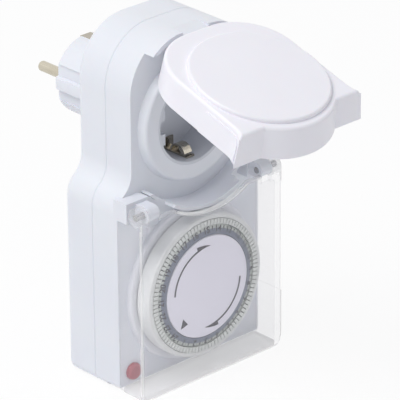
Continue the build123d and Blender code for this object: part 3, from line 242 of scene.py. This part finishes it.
moulding = makeMoulding()
drawnMetal = makeDrawnMetal()


def emptyMaterial(name):
    material = bpy.data.materials.new(name)
    material.use_nodes = True
    tree = material.node_tree
    tree.nodes.clear()
    return material, tree, add(tree, "ShaderNodeOutputMaterial")


plasticBase = {
    "ior": 1.47,
    "coatRoughness": 0.12,
    "bumpDistance": 0.0002,
    "scatterScale": 0.002,
}


def plastic(name, colour, shade, grain=2200.0, rough=(0.3, 0.4), bump=0.08, coat=0.0,
            subsurface=0.0, **sockets):
    material, tree, out = emptyMaterial(name)
    surface = add(tree, "ShaderNodeGroup", node_tree=moulding)
    surface.inputs["Color"].default_value = rgb(colour)
    surface.inputs["Shade"].default_value = rgb(shade)
    surface.inputs["Grain Scale"].default_value = grain
    surface.inputs["Rough Low"].default_value = rough[0]
    surface.inputs["Rough High"].default_value = rough[1]
    relief = add(tree, "ShaderNodeBump", {
        "Height": surface.outputs["Height"], "Strength": bump,
        "Distance": plasticBase["bumpDistance"]})
    shader = add(tree, "ShaderNodeBsdfPrincipled", {
        "Base Color": surface.outputs["Color"], "Roughness": surface.outputs["Roughness"],
        "Normal": relief.outputs["Normal"], "IOR": plasticBase["ior"], "Coat Weight": coat,
        "Coat Roughness": plasticBase["coatRoughness"]})
    for key, value in sockets.items():
        shader.inputs[key].default_value = value
    if subsurface:
        shader.inputs["Subsurface Weight"].default_value = subsurface
        shader.inputs["Subsurface Scale"].default_value = plasticBase["scatterScale"]
    tree.links.new(shader.outputs["BSDF"], out.inputs["Surface"])
    return material


metalBase = {
    "bump": 0.12,
    "bumpDistance": 0.0001,
}


def metal(name, colour, stained, stretch=(900.0, 60.0, 900.0), rough=(0.18, 0.36)):
    material, tree, out = emptyMaterial(name)
    drawn = add(tree, "ShaderNodeGroup", node_tree=drawnMetal)
    drawn.inputs["Stretch"].default_value = stretch
    drawn.inputs["Rough Low"].default_value = rough[0]
    drawn.inputs["Rough High"].default_value = rough[1]
    tone = mixed(tree, drawn.outputs["Stain"], rgb(colour), rgb(stained))
    relief = add(tree, "ShaderNodeBump", {
        "Height": drawn.outputs["Height"], "Strength": metalBase["bump"],
        "Distance": metalBase["bumpDistance"]})
    shader = add(tree, "ShaderNodeBsdfPrincipled", {
        "Base Color": tone, "Roughness": drawn.outputs["Roughness"],
        "Normal": relief.outputs["Normal"], "Metallic": 1.0})
    tree.links.new(shader.outputs["BSDF"], out.inputs["Surface"])
    return material


ripple = {
    "scale": 55.0,
    "strength": 0.04,
    "distance": 0.0004,
}


def rippledNormal(tree, place, s):
    # the slow waves of a moulded clear wall
    waves = add(tree, "ShaderNodeTexNoise", {
        "Vector": place.outputs["Object"], "Scale": s["scale"], "Detail": 1.0})
    return add(tree, "ShaderNodeBump", {
        "Height": waves.outputs["Fac"], "Strength": s["strength"],
        "Distance": s["distance"]}).outputs["Normal"]


def clearToLamps(tree, out, shader, shadow):
    # lamps shine straight through it, so what lies behind stays lit
    path = add(tree, "ShaderNodeLightPath")
    through = add(tree, "ShaderNodeBsdfTransparent", {"Color": rgb(shadow)})
    either = add(tree, "ShaderNodeMixShader", {
        0: path.outputs["Is Shadow Ray"], 1: shader.outputs["BSDF"], 2: through.outputs["BSDF"]})
    tree.links.new(either.outputs["Shader"], out.inputs["Surface"])


lampLook = {
    "colour": (0.95, 0.82, 0.75),
    "roughness": 0.05,
    "ior": 1.45,
    "shadow": (0.96, 0.96, 0.97),
}


def makeLampGlass(name, s):
    material, tree, out = emptyMaterial(name)
    place = add(tree, "ShaderNodeTexCoord")
    shader = add(tree, "ShaderNodeBsdfPrincipled", {
        "Base Color": rgb(s["colour"]), "Roughness": s["roughness"], "IOR": s["ior"],
        "Transmission Weight": 1.0, "Normal": rippledNormal(tree, place, ripple)})
    clearToLamps(tree, out, shader, s["shadow"])
    return material


# a point of the cover's hinge line
coverHinge = next(joint["pos_m"] for joint in frame["record"]["behaviour"]["joints"]
                  if joint["name"] == "cover_hinge")

coverLook = {
    "tint": (0.98, 0.97, 1.0),
    "edgeTint": (1.0, 1.0, 0.985),
    "knuckleTint": (0.85, 0.85, 0.87),
    "clearness": 0.45,          # the rest scatters, as a faint haze
    "ior": 1.03,                # nearly straight through, the gloss is a coat
    "rough": (0.03, 0.50),      # flat walls, rounded edges
    "alpha": (0.15, 1.0),
    "band": (0.0016, 0.0007),   # metres in from the cover's box or arc: starts, is full
    "knuckleReach": 0.0044,     # radius of the hinge knuckles, and a little more
    "knuckleFade": 0.0002,
    "knuckleAlpha": 0.50,
    "arcRadius": 0.0398,        # round cut above the timer, about the socket's axis
    "coat": 0.5,
    "coatRoughness": 0.04,
    "coatIor": 1.45,
    "shadow": (0.97, 0.97, 0.98),
}

# painted shade: the bottom wall is made greyer and less clear than the other walls, standing in
# for its darker look when seen at a low slant
coverFloorShadeLook = {**coverLook, "tint": (0.74, 0.74, 0.75), "alpha": (0.50, 0.8)}


def makeCoverPlastic(name, s):
    # rounded corners and cut edges scatter light, so they show whiter than the walls
    material, tree, out = emptyMaterial(name)
    low, high = span("timer_cover")
    place = add(tree, "ShaderNodeTexCoord")
    split = add(tree, "ShaderNodeSeparateXYZ", {"Vector": place.outputs["Object"]})
    across = add(tree, "ShaderNodeMath", {0: split.outputs["X"]}, operation="ABSOLUTE")
    wide, narrow = s["band"]
    atSide = ramp(tree, across.outputs["Value"], high[0] - wide, high[0] - narrow)
    atFront = ramp(tree, split.outputs["Y"], low[1] + wide, low[1] + narrow)
    atBottom = ramp(tree, split.outputs["Z"], low[2] + wide, low[2] + narrow)
    flat = add(tree, "ShaderNodeCombineXYZ", {"X": split.outputs["X"], "Y": split.outputs["Z"]})
    radius = add(tree, "ShaderNodeVectorMath", {0: flat.outputs["Vector"]}, operation="LENGTH")
    atArc = ramp(tree, radius.outputs["Value"], s["arcRadius"] + wide, s["arcRadius"] + narrow)
    corner = both(tree, atSide, atFront, "MULTIPLY")
    sill = both(tree, atBottom, atFront, "MULTIPLY")
    toHinge = (0.0, -coverHinge[1], -coverHinge[2])
    fromPin = add(tree, "ShaderNodeVectorMath", {0: place.outputs["Object"], 1: toHinge},
                  operation="ADD")
    turned = add(tree, "ShaderNodeVectorMath", {0: fromPin.outputs["Vector"], 1: (0.0, 1.0, 1.0)},
                 operation="MULTIPLY")
    pinRadius = add(tree, "ShaderNodeVectorMath", {0: turned.outputs["Vector"]},
                    operation="LENGTH")
    reach = s["knuckleReach"]
    knuckle = ramp(tree, pinRadius.outputs["Value"], reach + s["knuckleFade"], reach)
    away = both(tree, 1.0, knuckle, "SUBTRACT")
    edges = both(tree, both(tree, corner, sill, "MAXIMUM"), atArc, "MAXIMUM")
    mask = both(tree, edges, away, "MULTIPLY")
    wall = mixed(tree, knuckle, rgb(s["tint"]), rgb(s["knuckleTint"]))
    tone = mixed(tree, mask, wall, rgb(s["edgeTint"]))
    alpha = both(tree, blendOf(tree, mask, s["alpha"]),
                 blendOf(tree, knuckle, (0.0, s["knuckleAlpha"])), "MAXIMUM")
    shader = add(tree, "ShaderNodeBsdfPrincipled", {
        "Base Color": tone, "Roughness": blendOf(tree, mask, s["rough"]),
        "Alpha": alpha, "IOR": s["ior"],
        "Transmission Weight": s["clearness"], "Normal": rippledNormal(tree, place, ripple),
        "Coat Weight": s["coat"], "Coat Roughness": s["coatRoughness"], "Coat IOR": s["coatIor"]})
    clearToLamps(tree, out, shader, s["shadow"])
    return material


# finishes

finish = {
    "shellWhite": plastic("shellWhite", (0.80, 0.82, 0.87), (0.77, 0.79, 0.85),
                          rough=(0.32, 0.40), subsurface=0.05),
    "lidWhite": plastic("lidWhite", (0.92, 0.91, 0.97), (0.90, 0.89, 0.95),
                        rough=(0.30, 0.38), subsurface=0.05),
    # painted shade: the white socket and plug inserts are darkened to grey for the shadow inside
    # the well
    "wellShadedWhite": plastic("wellShadedWhite", (0.66, 0.68, 0.73), (0.62, 0.65, 0.70),
                         rough=(0.38, 0.48)),
    "bezelWhite": plastic("bezelWhite", (0.80, 0.81, 0.85), (0.77, 0.78, 0.83),
                          rough=(0.34, 0.44)),
    "labelWhite": plastic("labelWhite", (0.90, 0.88, 0.97), (0.88, 0.86, 0.95),
                          grain=900.0, rough=(0.28, 0.34), bump=0.03),
    "tappetWhite": plastic("tappetWhite", (0.78, 0.80, 0.77), (0.70, 0.72, 0.70),
                           rough=(0.40, 0.50)),
    "rimPale": plastic("rimPale", (0.80, 0.81, 0.80), (0.75, 0.76, 0.76),
                       rough=(0.32, 0.42)),
    "plateGrey": plastic("plateGrey", (0.55, 0.54, 0.50), (0.50, 0.49, 0.45)),
    "gearNylon": plastic("gearNylon", (0.80, 0.79, 0.72), (0.74, 0.73, 0.66)),
    "leverBrown": plastic("leverBrown", (0.30, 0.24, 0.18), (0.24, 0.19, 0.14)),
    "sealRubber": plastic("sealRubber", (0.10, 0.105, 0.11), (0.07, 0.07, 0.08),
                          grain=1400.0, rough=(0.6, 0.75), bump=0.2),
    "nickel": metal("nickel", (0.66, 0.62, 0.52), (0.55, 0.50, 0.40)),
    "earthMetal": metal("earthMetal", (0.52, 0.49, 0.42), (0.40, 0.36, 0.30),
                        stretch=(900.0, 50.0, 900.0), rough=(0.14, 0.30)),
    "copperAlloy": metal("copperAlloy", (0.72, 0.48, 0.24), (0.60, 0.38, 0.18)),
    "pinSteel": metal("pinSteel", (0.55, 0.55, 0.56), (0.45, 0.45, 0.46),
                      stretch=(40.0, 900.0, 900.0)),
    "motorCan": metal("motorCan", (0.60, 0.61, 0.62), (0.50, 0.51, 0.52)),
    "coverPlastic": makeCoverPlastic("coverPlastic", coverLook),
    "coverFloorShadePlastic": makeCoverPlastic("coverFloorShadePlastic", coverFloorShadeLook),
    "lensRed": plastic("lensRed", (0.50, 0.055, 0.085), (0.38, 0.035, 0.06), rough=(0.10, 0.16),
                       bump=0.02, coat=0.7, **{"Transmission Weight": 0.15}),
    "lampGlass": makeLampGlass("lampGlass", lampLook),
}


dialLook = {
    "colour": (0.185, 0.210, 0.275),
    "shade": (0.160, 0.185, 0.250),
    # painted reflection: the colour the ring is lightened to near its rim
    "paintedReflectionColour": (0.56, 0.60, 0.56),
    "paintedReflectionBand": (0.0018, 0.0013),   # metres in from the dial's rim where the painted reflection starts and where it is full
    "rough": (0.30, 0.40),
    "bump": 0.08,
    "ior": 1.5,
}


def makeDialGrey(s):
    # the printed ring is grey-blue beside the label; the paler band towards the tappets is a
    # painted reflection of the lamps
    material, tree, out = emptyMaterial("dialGrey")
    low, high = span("dial")
    centre, outer = (low + high) / 2, (high[0] - low[0]) / 2
    place = add(tree, "ShaderNodeTexCoord")
    centred = add(tree, "ShaderNodeVectorMath", {
        0: place.outputs["Object"], 1: (0.0, 0.0, -centre[2])}, operation="ADD")
    flat = add(tree, "ShaderNodeVectorMath", {
        0: centred.outputs["Vector"], 1: (1.0, 0.0, 1.0)}, operation="MULTIPLY")
    radius = add(tree, "ShaderNodeVectorMath", {0: flat.outputs["Vector"]}, operation="LENGTH")
    start, full = s["paintedReflectionBand"]
    # mask of the painted reflection: 0 inwards, 1 towards the rim
    across = ramp(tree, radius.outputs["Value"], outer - start, outer - full)
    surface = add(tree, "ShaderNodeGroup", node_tree=moulding)
    surface.inputs["Color"].default_value = rgb(s["colour"])
    surface.inputs["Shade"].default_value = rgb(s["shade"])
    surface.inputs["Rough Low"].default_value = s["rough"][0]
    surface.inputs["Rough High"].default_value = s["rough"][1]
    relief = add(tree, "ShaderNodeBump", {
        "Height": surface.outputs["Height"], "Strength": s["bump"],
        "Distance": plasticBase["bumpDistance"]})
    shader = add(tree, "ShaderNodeBsdfPrincipled", {
        "Base Color": mixed(tree, across, surface.outputs["Color"], rgb(s["paintedReflectionColour"])),
        "Roughness": surface.outputs["Roughness"], "Normal": relief.outputs["Normal"],
        "IOR": s["ior"]})
    tree.links.new(shader.outputs["BSDF"], out.inputs["Surface"])
    return material


finish["dialGrey"] = makeDialGrey(dialLook)
finish["printInk"] = plastic("printInk", (0.055, 0.05, 0.065), (0.04, 0.036, 0.05),
                             grain=1500.0, rough=(0.4, 0.5), bump=0.05)

wornBy = {
    "shellWhite": ["rear_shell", "front_shell"],
    "lidWhite": ["lid"],
    "wellShadedWhite": ["socket_insert", "plug_insert"],
    "bezelWhite": ["timer_bezel"],
    "labelWhite": ["label_disc"],
    "tappetWhite": ["tappets", "set_tappets"],
    "rimPale": ["dial_rim"],
    "dialGrey": ["dial", "tappet_guide"],
    "plateGrey": ["module_plate", "centre_post", "lever_bracket"],
    "gearNylon": ["dial_gear", "idler_gear", "motor_pinion"],
    "leverBrown": ["switch_lever"],
    "sealRubber": ["lid_seal"],
    "nickel": ["plug_pins"],
    "earthMetal": ["plug_earth_contacts", "socket_earth_clips"],
    "copperAlloy": ["earth_strap", "socket_contacts", "neutral_bar", "live_bar",
                    "switched_bar", "moving_contact", "fixed_contact"],
    "pinSteel": ["lid_hinge_pin", "cover_hinge_pins", "idler_shaft", "lever_shaft",
                 "housing_screws", "module_screws"],
    "motorCan": ["motor"],
    "coverPlastic": ["timer_cover"],
    "lensRed": ["indicator_lens"],
    "lampGlass": ["neon_lamp"],
}
for look, members in wornBy.items():
    for member in members:
        for seat in nodes[member].material_slots:
            seat.material = finish[look]
print("timer: finishes given to", sum(map(len, wornBy.values())), "nodes")


# print on the dial and the label

dialLow, dialHigh = span("dial")
labelLow, labelHigh = span("label_disc")
dialCentre = (dialLow + dialHigh) / 2
labelRadius = (labelHigh[0] - labelLow[0]) / 2

dialPrint = {
    "outerRadius": (dialHigh[0] - dialLow[0]) / 2,
    "innerRadius": labelRadius + 0.0003,
    "fall": 0.0009,           # the ring slopes back this far from inside to outside
    "lift": 0.00003,          # ink above the surface
    "hours": 24,
    "quarters": 4,
    "firstHour": 224.0,       # degrees, where hour 24 stands
    "tickWidth": 0.00022,
    "tickLength": 0.0009,
    "tickInset": 0.00045,     # of the ticks' outer ends, from the outer radius
    "hourWidth": 0.00095,
    "hourLength": 0.0017,
    "hourTaper": 0.25,        # inner width of an hour's wedge, as a share of its outer width
    "digitHeight": 0.0027,
    "digitShare": 0.69,       # of the font's size that a digit's height takes
    "curveSteps": 3,
    "digitBold": 0.00009,     # how far each stroke's outline is moved out
    "digitMiddle": 0.0018,    # middle of the digits, inwards from the outer radius
}


def onDial(radius, turn, s):
    # a point of the sloping ring: depth falls linearly with the radius
    share = (radius - s["innerRadius"]) / (s["outerRadius"] - s["innerRadius"])
    depth = -dialLow[1] - s["fall"] * share + s["lift"]
    return np.stack([radius * np.cos(turn), -depth * np.ones_like(turn),
                     dialCentre[2] + radius * np.sin(turn)], -1)


def makeTicks(s):
    # each tick is a radial quad: the angle's half width is half the tick's width over the
    # radius, and an hour's tick, half way between two numerals, narrows inwards to a wedge
    count = s["hours"] * s["quarters"]
    shifted = np.arange(count) + 0.5 * s["quarters"]
    turn = math.radians(s["firstHour"]) + shifted * 2 * math.pi / count
    onHour = np.arange(count) % s["quarters"] == 0
    width = np.where(onHour, s["hourWidth"], s["tickWidth"])
    length = np.where(onHour, s["hourLength"], s["tickLength"])
    outside = s["outerRadius"] - s["tickInset"]
    radius = np.stack([outside - length, outside * np.ones(count)], 1)
    taper = np.stack([np.where(onHour, s["hourTaper"], 1.0), np.ones(count)], 1)
    half = width[:, None] * taper / 2 / radius
    radii = np.repeat(radius[:, :, None], 2, 2)
    turns = turn[:, None, None] + np.stack([half, -half], 2)
    points = onDial(radii, turns, s)
    first = np.arange(count)[:, None] * 4
    faces = first + np.array([0, 2, 3, 1])
    return meshPiece("dialTicks", points, faces, "dial", finish["printInk"])


def makeDigits(s):
    # flat text is wrapped on the ring: across becomes angle, up becomes radius
    middle = s["outerRadius"] - s["digitMiddle"]
    corners, faces, offset = [], [], 0
    for hour in range(1, s["hours"] + 1):
        text = bpy.data.curves.new("hourText", "FONT")
        text.body = str(hour)
        text.align_x, text.align_y = "CENTER", "CENTER"
        text.size = s["digitHeight"] / s["digitShare"]
        text.resolution_u = s["curveSteps"]
        text.offset = s["digitBold"]
        holder = bpy.data.objects.new("hourText", text)
        bpy.context.collection.objects.link(holder)
        bpy.context.view_layer.update()
        flat = bpy.data.meshes.new_from_object(holder)
        bpy.data.objects.remove(holder)
        local = np.empty(len(flat.vertices) * 3)
        flat.vertices.foreach_get("co", local)
        local = local.reshape(-1, 3)
        turn = math.radians(s["firstHour"] + hour * 360 / s["hours"]) - local[:, 0] / middle
        corners.append(onDial(middle + local[:, 1], turn, s))
        faces += [[offset + k for k in polygon.vertices] for polygon in flat.polygons]
        offset += len(local)
    piece = newObject("dialDigits", np.concatenate(corners).tolist(), faces, finish["printInk"])
    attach(piece, "dial")
    return piece


labelPrint = {
    "lift": 0.00004,
    "arcRadius": 0.815,        # shares of the label's radius
    "arcWidth": 0.040,
    "arcFrom": 176.0,          # degrees, and so are barbAt and tipAt
    "barbAt": 107.0,
    "barbRadius": 0.905,
    "tipAt": 84.0,
    "tipRise": 0.45,           # of the head's inner edge up to its tip, in widths of the arc
    "steps": 48,
    "pointer": [(-0.62, -0.46), (-0.68, -0.65), (-0.50, -0.605)],   # its corners, x and z
}


def onLabel(x, z, s):
    # a point on the label's face, x and z in shares of its radius
    return np.stack([x * labelRadius, (labelLow[1] - s["lift"]) * np.ones_like(x),
                     dialCentre[2] + z * labelRadius], -1)


def makeArrows(s):
    # a shaft and a head, each a strip between two radii over a range of angles
    inner, outer = s["arcRadius"] - s["arcWidth"] / 2, s["arcRadius"] + s["arcWidth"] / 2
    shaft = np.linspace(s["arcFrom"], s["barbAt"], s["steps"])
    head = np.linspace(s["barbAt"], s["tipAt"], s["steps"])
    share = (head - s["barbAt"]) / (s["tipAt"] - s["barbAt"])
    turns = np.radians(np.concatenate([shaft, head]))
    low = np.concatenate([np.full(s["steps"], inner),
                          inner + share * s["arcWidth"] * s["tipRise"]])
    high = np.concatenate([np.full(s["steps"], outer),
                           s["barbRadius"] + share * (s["arcRadius"] - s["barbRadius"])])
    radii = np.stack([low, high], 1)
    points, faces = [], []
    for k, half in enumerate((0.0, math.pi)):
        turn = turns[:, None] + half
        points.append(onLabel(radii * np.cos(turn), radii * np.sin(turn), s))
        start = k * 4 * s["steps"]
        faces += [quadRows(s["steps"], 2, start),
                  quadRows(s["steps"], 2, start + 2 * s["steps"])]
    return meshPiece("labelArrows", np.concatenate(points), np.concatenate(faces)[:, ::-1],
                     "housing", finish["printInk"])


def makePointer(s):
    corner = np.array(s["pointer"])
    points = onLabel(corner[:, 0], corner[:, 1], s)
    return meshPiece("labelPointer", points, np.array([[0, 1, 2]]), "housing",
                     finish["printInk"])


coverFloor = {
    "wall": 0.0020,             # of the plate and of the cover
    "gap": 0.00005,             # to the cover's side walls
    "depth": 0.01575,           # of the plate's rear edge, from the front of the cover's box
    "gripStep": 0.0004,         # its grips stand this far out from its sides
    "cornerRadius": 0.0012,
    "cornerSteps": 6,
}


def makeCoverFloor(s):
    # a plate with rounded corners: one outline at two heights, closed by a fan on each; it lays a
    # grey sheet of painted shade into the cover's bottom wall
    low, high = span("timer_cover")
    # the box begins at the knuckles, 0.3 mm before the cover's face, so the front edge lies
    # 0.25 mm inside the front wall and the rear edge ends 0.35 mm short of the cover's lip
    front, rear = low[1] + s["wall"] + s["gap"], low[1] + s["depth"]
    side = high[0] - s["gripStep"] - s["wall"] - s["gap"]
    arc = np.linspace(0, math.pi / 2, s["cornerSteps"])
    r = s["cornerRadius"]
    corners = []
    for cx, cy, start in ((side - r, rear - r, 0.0), (-side + r, rear - r, math.pi / 2),
                          (-side + r, front + r, math.pi), (side - r, front + r, 1.5 * math.pi)):
        corners.append(np.stack([cx + r * np.cos(arc + start), cy + r * np.sin(arc + start)], 1))
    outline = np.concatenate(corners)
    count = len(outline)
    bottom = np.column_stack([outline, np.full(count, low[2])])
    top = np.column_stack([outline, np.full(count, low[2] + s["wall"])])
    middle = (front + rear) / 2
    hub = np.array([[0, middle, low[2]], [0, middle, low[2] + s["wall"]]])
    points = np.concatenate([bottom, top, hub])
    k = np.arange(count)
    after = (k + 1) % count
    walls = np.stack([k, after, count + after, count + k], 1).tolist()
    under = np.stack([np.full(count, 2 * count), after, k], 1).tolist()
    over = np.stack([np.full(count, 2 * count + 1), count + k, count + after], 1).tolist()
    piece = newObject("coverFloor", points.tolist(), walls + under + over,
                      finish["coverFloorShadePlastic"])
    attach(piece, "cover")
    return piece


makeCoverFloor(coverFloor)
makeTicks(dialPrint)
makeDigits(dialPrint)
makeArrows(labelPrint)
makePointer(labelPrint)
print("timer: dial and label printed")


# floor, world and lamps

studio = {
    "floorSize": 4.0,
    "floorColour": (0.97, 0.97, 0.98),
    "floorGlow": 0.90,         # share of plain white that the camera sees on the floor
    "skyColour": (0.97, 0.98, 1.0),
    "ambient": 0.48,
    "lampAim": cameraSettings["aim"],
    "lamps": [
        # name, place, size, watts
        ("softboxTop", (-0.80, 0.10, 1.30), 1.0, 14.5),
        ("softboxRight", (1.10, -0.90, 0.35), 0.8, 0.9),
    ],
}


def anyRay(tree):
    # 1 for camera, glossy and transmitted rays
    path = add(tree, "ShaderNodeLightPath")
    direct = both(tree, path.outputs["Is Camera Ray"], path.outputs["Is Glossy Ray"], "MAXIMUM")
    return both(tree, direct, path.outputs["Is Transmission Ray"], "MAXIMUM")


def makeFloor(s):
    half, bottom = s["floorSize"] / 2, cadLow[2]
    material, tree, out = emptyMaterial("floorPale")
    matt = add(tree, "ShaderNodeBsdfDiffuse", {"Color": rgb(s["floorColour"])})
    glow = add(tree, "ShaderNodeEmission", {"Color": (1, 1, 1, 1), "Strength": 1.0})
    either = add(tree, "ShaderNodeMixShader", {
        0: both(tree, anyRay(tree), s["floorGlow"], "MULTIPLY"),
        1: matt.outputs["BSDF"], 2: glow.outputs["Emission"]})
    tree.links.new(either.outputs["Shader"], out.inputs["Surface"])
    corners = [(-half, -half, bottom), (half, -half, bottom), (half, half, bottom),
               (-half, half, bottom)]
    floor = newObject("floor", corners, [(0, 1, 2, 3)], material)


def makeWorld(s):
    world = bpy.data.worlds.new("studio")
    world.use_nodes = True
    bpy.context.scene.world = world
    tree = world.node_tree
    tree.nodes.clear()
    out = add(tree, "ShaderNodeOutputWorld")
    light = add(tree, "ShaderNodeBackground", {
        "Color": rgb(s["skyColour"]), "Strength": s["ambient"]})
    seen = add(tree, "ShaderNodeBackground", {"Color": (1, 1, 1, 1), "Strength": 1.0})
    either = add(tree, "ShaderNodeMixShader", {
        0: anyRay(tree), 1: light.outputs["Background"], 2: seen.outputs["Background"]})
    tree.links.new(either.outputs["Shader"], out.inputs["Surface"])


def makeLamps(s):
    aim = Vector(s["lampAim"])
    for name, place, size, watts in s["lamps"]:
        lamp = bpy.data.lights.new(name, "AREA")
        lamp.shape, lamp.size, lamp.energy = "SQUARE", size, watts
        holder = bpy.data.objects.new(name, lamp)
        holder.location = place
        holder.rotation_mode = "QUATERNION"
        holder.rotation_quaternion = (aim - Vector(place)).to_track_quat("-Z", "Y")
        bpy.context.collection.objects.link(holder)


makeFloor(studio)
makeWorld(studio)
makeLamps(studio)
bpy.context.scene.view_settings.view_transform = "Standard"
print("timer: studio lit")
